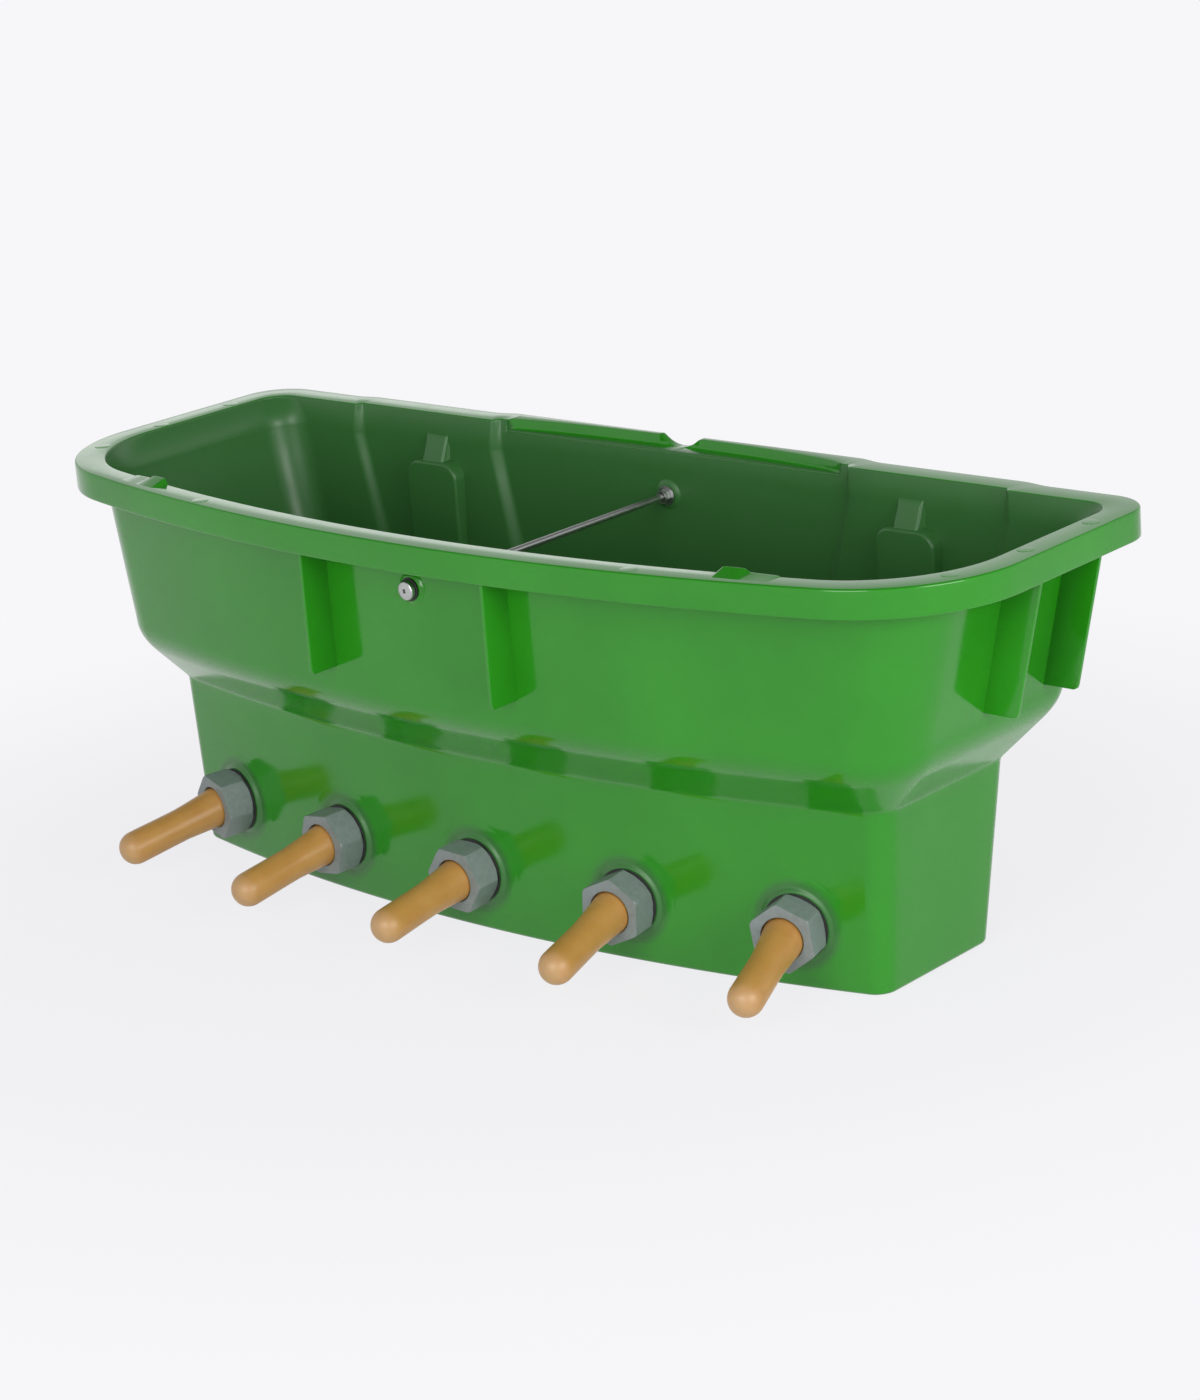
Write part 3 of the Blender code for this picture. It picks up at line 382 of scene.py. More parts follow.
# %% Rings of the recess and the mouth's edge
RECESS_LIP = 0.0065
RECESS_STEPS = ((0.0, 0.0), (0.0005, 0.0002), (0.0008, 0.0008), (0.0010, 0.0060),
                (0.0014, 0.0072), (0.0024, 0.0080))
mouth_back = back_line(mouth)
recess_reach = back_line(rim) - RECESS_LIP - mouth_back


def in_back_middle(point):
    return point.y > 0.0 and abs(point.x) < RECESS_HALF


def recess_ring(shift, drop):
    """The recess edge moved forward by shift and down by drop."""
    points = []
    for p in ring(grow(mouth, RIM_ROUND), RIM_TOP):
        if in_back_middle(p):
            arch = mouth_back + recess_reach * math.sqrt(1.0 - (p.x / RECESS_HALF) ** 2) - shift
            level = RIM_TOP - max(drop, notch(p.x) if drop < RECESS_DEPTH else drop)
            p = Vector((p.x, max(p.y, arch), level))
        points.append(p)
    return points


def sink(points, by):
    """The mouth's edge lies at the floor of the recess in the middle of the back."""
    level = RIM_TOP - RECESS_DEPTH - by
    return [Vector((p.x, p.y, min(p.z, level))) if in_back_middle(p) else p for p in points]


over_rim += [recess_ring(shift, drop) for shift, drop in RECESS_STEPS]
over_rim += [sink(points, RIM_TOP - points[0].z)
             for points in round_edge(mouth, RIM_ROUND, RIM_TOP, -RIM_ROUND)]
print(len(over_rim), "rings over the rim")

# %% [markdown]
# Inside, the rings go down to the floor one wall thickness in from the outer ones, with a round
# fillet where the wall meets the floor so that a brush reaches all the milk.

# %% Rings down the inside, and the finished skin
SLANT_RISE = 0.0015
inner_high = grow(wide_high, -WALL)
inside = []
for index in range(11, 0, -1):
    share = index / 12
    height = WIDE_TOP + (RIM_TOP - RIM_ROUND - WIDE_TOP) * share
    inside.append(sink(ring(mix(inner_high, mouth, share ** 2.0), height), RIM_ROUND))
inside += band(wide_low, wide_high, WIDE_SHARES[::-1], WIDE_BOTTOM + SLANT_RISE, WIDE_TOP, WALL)
for index in range(SHOULDER_STEPS - 1, 0, -1):
    share = index / SHOULDER_STEPS
    rise = SLANT_RISE + SLANT_RISE * math.sin(math.pi * share)
    inside.append(ring(grow(mix(well, wide_low, swell(share)), -WALL),
                       WELL_TOP + (WIDE_BOTTOM - WELL_TOP) * share + rise))
inside += band(base, well, (1.0, 0.92, 0.7, 0.45, 0.2), SLANT_RISE, WELL_TOP + SLANT_RISE, WALL)
inside += round_edge(grow(base, -WALL), -FLOOR_FILLET, FLOOR_LEVEL, FLOOR_FILLET, 5, True)

tub = skin("tub_shell", outside + over_rim + inside)
print("tub shell:", len(tub.data.vertices), "points,", len(tub.data.polygons), "faces")

# %% [markdown]
# ## Hanger pockets
# Two pockets in the outside of the back wall take the hooks that hang the trough on a gate. From
# inside they show as raised bosses, each with a narrower ramp that runs up the wall above it. A
# Boolean joins the boss to the tub, and the same form, one wall smaller, is cut from outside.

# %% Bosses and pockets
POCKET_X = 0.2435
POCKET_HALF = 0.0275
POCKET_CORNER = 0.014
POCKET_FOOT_CORNER = 0.004
POCKET_FOOT = 0.206
POCKET_CREST = 0.2877
RAMP_HALF = 0.0118
RAMP_FOOT = 0.262
RAMP_TOP = 0.3085
RAMP_SPREAD = 0.0020
BOSS_FACE = 0.144
BOSS_ROUND = 0.0026
WALL_LEAN = 0.047
OUTSIDE_Y = 0.170


def arch_section(centre, trim, depth, lean=0.0):
    """A doorway shape with round corners, trimmed all round, at a depth into the wall."""
    half = POCKET_HALF - trim
    crest = (POCKET_CORNER - trim, POCKET_CREST - POCKET_CORNER)
    foot = (POCKET_FOOT_CORNER, POCKET_FOOT + trim + POCKET_FOOT_CORNER)
    points = []
    for side, start, (radius, level) in ((1.0, 0.0, crest), (-1.0, 0.5, crest),
                                         (-1.0, 1.0, foot), (1.0, 1.5, foot)):
        for index in range(11):
            angle = math.pi * (start + 0.05 * index)
            height = level + radius * math.sin(angle)
            points.append(Vector((centre + side * (half - radius) + radius * math.cos(angle),
                                  depth + lean * (height - 0.25), height)))
    return points


def ramp_section(centre, half, face, back, height):
    """A level slice of the ramp: its front corners are round and its sides widen to the wall."""
    corner = min(0.0030, (back - face) * 0.6)
    points = [Vector((centre - half - RAMP_SPREAD, back, height))]
    for side, start in ((-1.0, math.pi), (1.0, 1.5 * math.pi)):
        for index in range(6):
            angle = start + math.pi / 2 * index / 5
            points.append(Vector((centre + side * (half - corner) + corner * math.cos(angle),
                                  face + corner + corner * math.sin(angle), height)))
    points.append(Vector((centre + half + RAMP_SPREAD, back, height)))
    return points


def cut_or_join(piece, tool, operation):
    select_only(piece)
    modifier = piece.modifiers.new(operation.lower(), "BOOLEAN")
    modifier.operation = operation
    modifier.solver = "EXACT"
    modifier.object = tool
    bpy.ops.object.modifier_apply(modifier=modifier.name)
    bpy.data.objects.remove(tool, do_unlink=True)


def build_boss(name, centre, trim):
    """Arch and ramp, joined. With a trim they are the pocket behind the boss."""
    face = BOSS_FACE + trim
    if trim:
        rings = [arch_section(centre, trim, OUTSIDE_Y)]
    else:
        rings = [arch_section(centre, -0.0008, 0.1558, WALL_LEAN)]
    rings += [arch_section(centre, trim + BOSS_ROUND * (1.0 - c), face + BOSS_ROUND * (1.0 - s))
              for s, c in quarter(5)]
    arch = skin(name + "_arch", rings)
    top = RAMP_TOP - 1.4 * trim
    rings = []
    for height, shift in ((RAMP_FOOT, 0.0), (0.2840, 0.0), (0.2860, 0.0010),
                          (top - 0.005, 0.0086), (top - 0.0012, 0.0100), (top, 0.0112)):
        back = OUTSIDE_Y if trim else 0.1570 + 0.043 * (height - RAMP_FOOT)
        rings.append(ramp_section(centre, RAMP_HALF - trim, face + 0.0008 + shift, back, height))
    boss = skin(name + "_ramp", rings)
    cut_or_join(boss, arch, "UNION")
    return boss


for side in (-1.0, 1.0):
    cut_or_join(tub, build_boss("boss", side * POCKET_X, 0.0), "UNION")
    cut_or_join(tub, build_boss("pocket", side * POCKET_X, WALL), "DIFFERENCE")
print("tub with bosses:", len(tub.data.polygons), "faces")

# %% [markdown]
# ## Placing the five teat stations
# The teats fan out like fingers and tilt down a little. One matrix for each station turns local Z
# along the teat and local Y upward, so every piece of the valve is drawn once at the origin and
# each copy is carried to its station.

# %% Station matrices
STATION_X = (-0.2875, -0.1462, 0.0, 0.1462, 0.2875)
STATION_HEIGHT = 0.049
PAD_PROUD = 0.002
FAN = math.radians(7.0)
TILT = math.radians(2.5)


def station_matrix(index):
    fan = FAN * (index - 2)
    outward = Vector((math.sin(fan) * math.cos(TILT), -math.cos(fan) * math.cos(TILT),
                      -math.sin(TILT)))
    level = Vector((-outward.y, outward.x, 0.0)).normalized()
    upward = outward.cross(level)
    x = STATION_X[index]
    wall = front_line(mix(base, well, STATION_HEIGHT / WELL_TOP), x)
    matrix = Matrix((level, upward, outward)).transposed().to_4x4()
    matrix.translation = Vector((x, wall, STATION_HEIGHT)) + outward * PAD_PROUD
    return matrix


stations = [station_matrix(index) for index in range(5)]
print("teat 3 points along", [round(value, 3) for value in stations[2].col[2][:3]])

# %% [markdown]
# ## Turned pieces
# Pads, rubber rings, washers, teats and valve bodies are all turned: a profile of radius and
# height goes round an axis. A bore makes the profile a closed loop. Rounded corners are added to
# the profile itself, as a small arc in place of each hard corner.

# %% Helpers for turned pieces
AXIS = 0.0000001


def polar(radius, angle, height):
    return Vector((radius * math.cos(angle), radius * math.sin(angle), height))


def circle(radius, height, sides=96):
    return [polar(radius, 2.0 * math.pi * index / sides, height) for index in range(sides)]


def rounded(profile, radius, closed=True):
    """Puts a short arc of five points at each corner of a profile."""
    count = len(profile)
    points = []
    for index, corner in enumerate(profile):
        if not closed and index in (0, count - 1):
            points.append(corner)
            continue
        corner = Vector(corner)
        before = Vector(profile[index - 1]) - corner
        after = Vector(profile[(index + 1) % count]) - corner
        reach = min(radius, before.length * 0.45, after.length * 0.45)
        start = corner + before.normalized() * reach
        end = corner + after.normalized() * reach
        for share in (0.0, 0.25, 0.5, 0.75, 1.0):
            low = start.lerp(corner, share)
            high = corner.lerp(end, share)
            points.append(tuple(low.lerp(high, share)))
    return points


def turn(name, profile, matrix, closed=True, sides=96):
    """Turns a profile of (radius, height). A closed profile has a bore, an open one has none."""
    rings = [circle(max(radius, AXIS), height, sides) for radius, height in profile]
    if closed:
        rings.append(rings[0])
    return place_piece(skin(name, rings, caps=False, angle=50.0), matrix)


def flat_ring(bore, outer, low, high, soft):
    return rounded([(bore, low), (outer, low), (outer, high), (bore, high)], soft)


# %% [markdown]
# ## Holes, milk film with painted shade, and pads
# Each station needs a round hole in the wall. Dried milk dulls the inside of a used tub, and the
# wall round each nut, and there the film also paints shade as a greyer, darker green. A number on
# every point, from 0 to 1, says how much of that film and painted shade it wears, and the green
# material reads it. A pad backs each nut: it follows the wall that it stands on.

# %% Holes, and the milk film with its painted shade
THREAD_RADIUS = 0.0187
HOLE_RADIUS = THREAD_RADIUS + GAP

for matrix in stations:
    select_only()
    bpy.ops.mesh.primitive_cylinder_add(vertices=96, radius=HOLE_RADIUS, depth=0.030)
    cut_or_join(tub, place_piece(bpy.context.object, matrix), "DIFFERENCE")
select_only(tub)
bpy.ops.object.shade_smooth_by_angle(angle=math.radians(32.0))


def milk_film_and_shade_mask(vertex):
    """1 on the walls and floor inside the mouth, 0 on the rim and outside."""
    x, y, z = vertex.co
    if z < FLOOR_LEVEL - 0.001 or z > RIM_TOP - 0.0004:
        return 0.0
    across = abs(abs(x) - POCKET_X)
    corner = math.hypot(max(across - POCKET_HALF + POCKET_CORNER, 0.0),
                        max(z - POCKET_CREST + POCKET_CORNER, 0.0))
    on_arch = POCKET_CORNER - 0.002 < corner < POCKET_CORNER + 0.001
    on_ramp = RAMP_HALF - 0.002 < across < RAMP_HALF + 0.003 and z > POCKET_CREST
    if 0.0 < y < 0.1575 and z > POCKET_FOOT and (on_arch or on_ramp):
        return 1.0
    front = front_line(mouth, x)
    if abs(x) > mouth.half + 0.006 or y < front - 0.002 or y > mouth_back + 0.002:
        return 0.0
    inward = -(vertex.normal.x * x / 0.16 + vertex.normal.y * y / 0.021)
    return 1.0 if inward > 0.0 or (vertex.normal.z > 0.5 and z < 0.02) else 0.0


def mark_film_and_shade(piece, touches):
    film_and_shade = piece.data.attributes.new("milk_film", "FLOAT", "POINT")
    film_and_shade.data.foreach_set("value", [float(touches(vertex)) for vertex in piece.data.vertices])


# The tub's inside wears the film: its dullness is a real milk film, and its greyer, darker green
# is painted shade.
mark_film_and_shade(tub, milk_film_and_shade_mask)
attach(tub, "trough")
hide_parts("trough_tub")
print("five holes of", HOLE_RADIUS * 2000, "mm")

# %% Pads round the holes
PAD_RADIUS = THREAD_RADIUS + 0.0133
PAD_DEPTH = 0.0088
PAD_FLAT = 0.0258
PAD_STEP = 0.0300
PAD_REACH = 0.0460
PAD_FILM_AND_SHADE = 0.9
FILM_AND_SHADE_FADE = 0.008


def wall_depth(matrix, x, y):
    """How far the well's front wall lies behind the station's face, beside its axis."""
    depth = 0.0
    for _ in range(5):
        point = matrix @ Vector((x, y, -depth))
        wall = front_line(mix(base, well, point.z / WELL_TOP), point.x)
        depth += (wall - point.y) / -matrix.col[2].y
    return depth


def pad_ring(matrix, radius, sunk=0.0):
    """A ring of the pad: a rounded step down from its face, then a gentle slope to the wall."""
    past = max(0.0, radius - PAD_FLAT)
    step = ease(min(1.0, past / (PAD_STEP - PAD_FLAT)))
    slope = past / (PAD_REACH - PAD_FLAT)
    drop = 0.80 * step + 0.20 * ease(slope)
    return [Vector((x, y, -wall_depth(matrix, x, y) * drop - GAP * slope ** 2 - sunk))
            for x, y, _ in circle(radius, 0.0)]


# Painted shade: a greyer, darker green round each nut, fading outward, with a real dull film on
# the same points.
def film_and_shade_round_nut(vertex):
    past = math.hypot(vertex.co.x, vertex.co.y) - PAD_STEP
    return PAD_FILM_AND_SHADE - PAD_FILM_AND_SHADE * ease(clamp(past / FILM_AND_SHADE_FADE))


for number, matrix in enumerate(stations, start=1):
    rings = [circle(HOLE_RADIUS, -PAD_DEPTH), circle(PAD_RADIUS - 0.0030, -PAD_DEPTH),
             circle(PAD_RADIUS - 0.0009, -PAD_DEPTH + 0.0009),
             circle(PAD_RADIUS, -PAD_DEPTH + 0.0030),
             pad_ring(matrix, PAD_REACH - 0.0005, 0.0018)]
    for outer, inner, steps in ((PAD_REACH, PAD_STEP, range(8)), (PAD_STEP, PAD_FLAT, range(9))):
        rings += [pad_ring(matrix, outer + (inner - outer) * step / 8) for step in steps]
    rings += [circle(HOLE_RADIUS + 0.0005, 0.0), circle(HOLE_RADIUS, -0.0005), rings[0]]
    pad = skin("valve_pad_%d" % number, rings, caps=False, angle=50.0)
    mark_film_and_shade(pad, film_and_shade_round_nut)
    place_piece(pad, matrix)
    finish_piece(pad, "trough", "tub_green")
print("pads stand", PAD_PROUD * 1000, "mm proud of the wall")

# %% [markdown]
# ## Rubber rings
# A black ring shows behind each nut, and a second one seals the valve body inside the tub.

# %% Seals and gaskets
SEAL_THICK = 0.0015
FLANGE_RADIUS = 0.0270
GASKET_TOP = -PAD_DEPTH - GAP
GASKET_BOTTOM = GASKET_TOP - SEAL_THICK

for number, matrix in enumerate(stations, start=1):
    for name, outer, low, high in (("outer_seal_%d", 0.0255, GAP, SEAL_THICK),
                                   ("inner_gasket_%d", FLANGE_RADIUS, GASKET_BOTTOM, GASKET_TOP)):
        profile = flat_ring(HOLE_RADIUS, outer, low, high, 0.0005)
        piece = turn("rubber_" + name % number, profile, matrix)
        finish_piece(piece, "trough", "seal_black", name % number)
print("ten rubber rings")

# %% [markdown]
# ## Union nuts
# A nut is a six-sided bar that has been turned down at both ends: the cone of the lathe tool
# leaves an arc on each flat. So each point's radius is the smaller of the hexagon and the cone,
# with the ridge between them softened by a fraction of a millimetre.

# %% Nuts by section
NUT_FLATS = 0.0470
NUT_BACK = SEAL_THICK + GAP
NUT_FACE = SEAL_THICK + 0.0235
NUT_LIP = 0.005
NUT_MOUTH = 0.0168
NUT_TURN = (21.0, 40.0, 27.0, 55.0, 7.0)
RIDGE_WIDTH = 0.0004


def soft_min(first, second, width):
    share = clamp(0.5 + 0.5 * (second - first) / width)
    return second + (first - second) * share - width * share * (1.0 - share)


def hexagon_radius(angle, flats, corner):
    """Distance to the side of a hexagon with rounded corners."""
    local = (angle + math.pi / 6) % (math.pi / 3) - math.pi / 6
    return soft_min(flats / 2.0 / math.cos(local), flats / math.sqrt(3.0) - corner * 0.155,
                    corner)


def hexagon(height, flats, corner, sides, cone=1.0):
    """A level ring of a hexagon that is turned down to the cone's radius."""
    points = []
    for index in range(sides):
        angle = 2.0 * math.pi * index / sides
        radius = hexagon_radius(angle, flats, corner)
        points.append(polar(soft_min(radius, cone, RIDGE_WIDTH), angle, height))
    return points


def nut_skin(name, flats, low, high, back, front, corner, sides, hole):
    """A nut between two heights with two chamfers, and a hole that has its own profile."""
    cuts = [(low, back), (low + 0.0002, back - 0.0001)]
    cuts += [(low + back * index / 8, back * (1.0 - index / 8)) for index in range(1, 9)]
    cuts += [(low + (high - low) * share, 0.0) for share in (0.35, 0.5, 0.7)]
    cuts += [(high - front * index / 6, front * (1.0 - index / 6)) for index in range(6, 0, -1)]
    crown = flats / math.sqrt(3.0) + 0.0003
    rings = [hexagon(height, flats, corner, sides, crown - cut)
             for height, cut in cuts + [(high, front)]]
    rings += [circle(radius, height, sides) for radius, height in hole]
    return skin(name, rings + rings[:1], caps=False, angle=38.0)


hole = rounded([(NUT_MOUTH + 0.0004, NUT_FACE), (NUT_MOUTH, NUT_FACE - 0.0004),
                (NUT_MOUTH, NUT_FACE - NUT_LIP), (HOLE_RADIUS, NUT_FACE - NUT_LIP),
                (HOLE_RADIUS, NUT_BACK)], 0.0003, closed=False)
for number, (matrix, turned) in enumerate(zip(stations, NUT_TURN), start=1):
    nut = nut_skin("hexagon_nut_%d" % number, NUT_FLATS, NUT_BACK, NUT_FACE, 0.0034, 0.0014,
                   0.0009, 120, hole)
    place_piece(nut, matrix @ Matrix.Rotation(math.radians(turned - 60.0), 4, "Z"))
    finish_piece(nut, "nut_%d" % number, "nut_grey", "union_nut_%d" % number)
print("nuts are", NUT_FLATS * 1000, "mm across flats")

# %% [markdown]
# ## Teats
# Each teat is a thick tube of soft latex with a collar that the nut clamps. It narrows over its
# first third and ends in a dome. Its own weight makes it droop and it swings a little to one
# side, so the rings past the nut are turned about the nut's mouth before the skin is drawn.

# %% Teats
TEAT_ROOT = 0.0158
TEAT_TIP = 0.0135
TEAT_LENGTH = 0.0871
TEAT_BEND = 0.006
TEAT_DROOP = (10.0, 9.0, 6.0, 9.0, 10.0)
TEAT_SWING = (-3.0, -1.0, 0.0, 1.0, 3.0)
FLANGE_TOP = GASKET_BOTTOM - GAP
FLANGE_BOTTOM = FLANGE_TOP - 0.003
COLLAR_HIGH = NUT_FACE - NUT_LIP - GAP
COLLAR_LOW = COLLAR_HIGH - 0.0044
VALVE_BORE = 0.0050
BALL_RADIUS = 0.0070
BALL_TRAVEL = 0.003
BALL_REST = FLANGE_TOP + math.sqrt(BALL_RADIUS ** 2 - VALVE_BORE ** 2) + GAP + BALL_TRAVEL
STUB_END = BALL_REST + BALL_RADIUS + GAP


def bend(points, droop, swing):
    turned_by = Matrix.Rotation(math.radians(swing), 3, "Y") @ Matrix.Rotation(
        math.radians(droop), 3, "X")
    pivot = Vector((0.0, 0.0, COLLAR_HIGH))
    bent = []
    for point in points:
        share = ease(clamp((point.z - COLLAR_HIGH) / TEAT_BEND))
        bent.append(pivot + (point - pivot).lerp(turned_by @ (point - pivot), share))
    return bent


profile = [(0.0, STUB_END), (0.0060, STUB_END), (0.0073, STUB_END + 0.0004),
           (0.0076, STUB_END + 0.0012), (0.0076, COLLAR_LOW), (0.0176, COLLAR_LOW),
           (0.0180, COLLAR_LOW + 0.0006), (0.0180, COLLAR_HIGH - 0.0006),
           (0.0174, COLLAR_HIGH), (TEAT_ROOT, COLLAR_HIGH)]
profile += [(TEAT_ROOT, COLLAR_HIGH + 0.0007 * index) for index in range(1, 7)]
straight = TEAT_LENGTH - TEAT_TIP
for index in range(25):
    share = index / 24
    radius = TEAT_ROOT + (TEAT_TIP - TEAT_ROOT) * min(1.0, share / 0.42) ** 0.75
    radius -= 0.0003 * math.sin(math.pi * share) ** 2
    profile.append((radius, NUT_FACE + straight * share))
for index in range(1, 17):
    angle = math.pi / 2 * index / 16
    profile.append((TEAT_TIP * math.cos(angle) ** 0.92 if index < 16 else 0.0,
                    NUT_FACE + straight + TEAT_TIP * math.sin(angle)))

for number, matrix in enumerate(stations, start=1):
    rings = [bend(circle(max(radius, AXIS), height), TEAT_DROOP[number - 1],
                  TEAT_SWING[number - 1]) for radius, height in profile]
    teat = skin("latex_teat_%d" % number, rings, caps=False, angle=60.0)
    reach = teat.data.attributes.new("reach", "FLOAT", "POINT")
    reach.data.foreach_set("value", [(vertex.co.z - NUT_FACE) / TEAT_LENGTH
                                     for vertex in teat.data.vertices])
    place_piece(teat, matrix)
    finish_piece(teat, "teat_%d" % number, "teat_amber", "teat_%d" % number)
print("teats reach", TEAT_LENGTH * 1000, "mm out of their nuts")

# %% [markdown]
# ## Valve bodies and balls
# Unscrew a nut and the threaded spigot shows. Its thread is a real helix: each point's radius
# depends on its height and its angle together. The ball inside is the one-way valve.

# %% Threaded spigots with their balls
SPIGOT_END = COLLAR_LOW - GAP
SPIGOT_MOUTH = 0.0130
BALL_ROOM = 0.0083
ROOM_END = FLANGE_TOP + 0.0139
THREAD_START = 0.0014
THREAD_PITCH = 0.0045
THREAD_DEPTH = 0.0011
THREAD_STEPS = 54


def thread_ring(index):
    """A ring of the thread, which fades out at both ends and has a small chamfer."""
    height = THREAD_START + (SPIGOT_END - 0.0002 - THREAD_START) * index / THREAD_STEPS
    fade = min(1.0, index / 6, (THREAD_STEPS - index) / 5)
    points = []
    for side in range(96):
        phase = (height / THREAD_PITCH - side / 96) % 1.0
        groove = clamp(2.2 - 6.0 * abs(phase - 0.5))
        radius = THREAD_RADIUS - THREAD_DEPTH * (1.0 - groove) * fade
        radius -= 0.0010 * max(0.0, (index - THREAD_STEPS + 3) / 3)
        points.append(polar(radius, 2.0 * math.pi * side / 96, height))
    return points


flange = rounded([(VALVE_BORE, FLANGE_TOP), (VALVE_BORE, FLANGE_BOTTOM),
                  (FLANGE_RADIUS, FLANGE_BOTTOM), (FLANGE_RADIUS, FLANGE_TOP),
                  (THREAD_RADIUS, FLANGE_TOP), (THREAD_RADIUS, 0.0012)], 0.0005, closed=False)
room = rounded([(0.0174, SPIGOT_END), (SPIGOT_MOUTH, SPIGOT_END), (SPIGOT_MOUTH, ROOM_END),
                (BALL_ROOM, ROOM_END), (BALL_ROOM, FLANGE_TOP + 0.0020)], 0.0003, closed=False)
rings = [circle(radius, height) for radius, height in flange]
rings += [thread_ring(index) for index in range(THREAD_STEPS + 1)]
rings += [circle(radius, height) for radius, height in room]
rings.append(rings[0])

ball_profile = []
for index in range(25):
    angle = -math.pi / 2 + math.pi * index / 24
    bead = 0.00004 if index == 12 else 0.0
    ball_profile.append(((BALL_RADIUS + bead) * math.cos(angle) if 0 < index < 24 else 0.0,
                         BALL_REST + BALL_RADIUS * math.sin(angle)))

for number, matrix in enumerate(stations, start=1):
    spigot = skin("threaded_spigot_%d" % number, rings, caps=False, angle=40.0)
    finish_piece(place_piece(spigot, matrix), "trough", "valve_white", "valve_body_%d" % number)
    ball = turn("nylon_ball_%d" % number, ball_profile, matrix, closed=False, sides=48)
    finish_piece(ball, "ball_%d" % number, "ball_white", "valve_ball_%d" % number)
print("thread pitch", THREAD_PITCH * 1000, "mm")

# %% [markdown]
# ## Ribs under the rim
# Flat ribs stiffen the rim: two on the front wall and two at each end. Each is drawn as its
# outline, filled, and extruded to 3 mm, and a Bevel modifier takes the sharpness off its edges.

# %% Flat plates from an outline
PLATE_BEVEL = 0.0006
RIB_THICK = 0.003
RIB_TOP = RIM_TOP - 0.0017
RIB_LAP = 0.0008


def plate(name, outline, push):
    """Fills the outline of 3-D points and extrudes it by the push vector."""
    select_only()
    bpy.ops.mesh.primitive_circle_add(vertices=len(outline), radius=0.01, fill_type="NGON")
    piece = bpy.context.object
    piece.name = piece.data.name = name
    for vertex, point in zip(piece.data.vertices, outline):
        vertex.co = point
    bpy.ops.object.mode_set(mode="EDIT")
    bpy.ops.mesh.select_all(action="SELECT")
    bpy.ops.mesh.extrude_region_move(TRANSFORM_OT_translate={"value": push})
    bpy.ops.mesh.select_all(action="SELECT")
    bpy.ops.mesh.normals_make_consistent(inside=False)
    bpy.ops.object.mode_set(mode="OBJECT")
    modifier = piece.modifiers.new("soft_edges", "BEVEL")
    modifier.width = PLATE_BEVEL
    modifier.segments = 3
    modifier.limit_method = "ANGLE"
    modifier.angle_limit = math.radians(30.0)
    bpy.ops.object.modifier_apply(modifier=modifier.name)
    bpy.ops.object.shade_smooth_by_angle(angle=math.radians(32.0))
    return piece


for number, x in enumerate((-0.092, 0.092), start=1):
    bottom = 0.209
    skirt_y = front_line(rim, x) + SKIRT_THICK - RIB_LAP
    mouth_y = front_line(mouth, x) - WALL / 2
    outline = [(skirt_y, bottom + 0.004), (skirt_y + 0.0012, bottom + 0.0012),
               (skirt_y + 0.004, bottom), (front_line(wide_low, x) + WALL / 2, bottom),
               (front_line(wide_high, x) + WALL / 2, WIDE_TOP),
               (mouth_y, RIM_UNDERSIDE - 0.002), (mouth_y, RIB_TOP), (skirt_y, RIB_TOP)]
    points = [Vector((x - RIB_THICK / 2, y, z)) for y, z in outline]
    rib = plate("front_rib_%d" % number, points, (RIB_THICK, 0.0, 0.0))
    finish_piece(rib, "trough", "tub_green")

END_RIBS = ((-1, 0.028), (-1, 0.103), (1, 0.028), (1, 0.103))
for number, (side, y) in enumerate(END_RIBS, start=1):
    bottom = 0.201
    skirt_x = end_line(rim, y) - SKIRT_THICK + RIB_LAP
    mouth_x = end_line(mouth, y) + WALL / 2
    foot = end_line(wide_low, y) + 0.0317
    outline = [(skirt_x, RIB_TOP), (skirt_x, SKIRT_BOTTOM), (foot, bottom + 0.004),
               (foot - 0.0012, bottom + 0.0012), (foot - 0.004, bottom),
               (end_line(wide_low, y) - WALL / 2, bottom),
               (end_line(wide_high, y) - WALL / 2, WIDE_TOP),
               (mouth_x, RIM_UNDERSIDE - 0.002), (mouth_x, RIB_TOP)]
    points = [Vector((side * x, y - RIB_THICK / 2, z)) for x, z in outline]
    rib = plate("end_rib_%d" % number, points, (0.0, RIB_THICK, 0.0))
    finish_piece(rib, "trough", "tub_green")
print("six ribs,", RIB_THICK * 1000, "mm thick")

# %% [markdown]
# ## Tabs and pin marks on the rim
# A wedge stands on the rim near each front corner. Its high edge follows the mouth, rises over a
# few millimetres and falls slowly towards the corner, and its face slopes down to the front. Each
# row below is a place along the rim, a height and an inset from the rim's outer edge.

# %% Wedge tabs
TAB_SECTIONS = ((0.2795, 0.0002, 0.0100), (0.2802, 0.0008, 0.0096), (0.2822, 0.0038, 0.0088),
                (0.2832, 0.0044, 0.0082), (0.2844, 0.0044, 0.0078), (0.2950, 0.0043, 0.0075),
                (0.2990, 0.0040, 0.0073), (0.3008, 0.0032, 0.0073), (0.3030, 0.0017, 0.0072),
                (0.3060, 0.0014, 0.0070), (0.3150, 0.0011, 0.0068), (0.3230, 0.0007, 0.0066),
                (0.3255, 0.0002, 0.0066))

for number, side in enumerate((-1, 1), start=1):
    rings = []
    for x, high, inset in TAB_SECTIONS:
        front = front_line(rim, x) + inset
        back = front_line(mouth, x) + 0.0006
        top = RIM_TOP + high
        section = [(front, RIM_TOP - 0.0012), (front + 0.0004, RIM_TOP),
                   (back - 0.0020, top - 0.10 * high), (back - 0.0010, top),
                   (back - 0.0004, top - 0.0001), (back, top - 0.0007),
                   (back, RIM_TOP - 0.0010), (back - 0.0022, RIM_TOP - 0.0030)]
        rings.append([Vector((side * x, y, z)) for y, z in section])
    finish_piece(skin("rim_tab_%d" % number, rings, angle=25.0), "trough", "tub_green")
print("two tabs on the rim")

# %% [markdown]
# The mould's ejector pins push the tub out by its rim. Each leaves a faint round mark on the top.

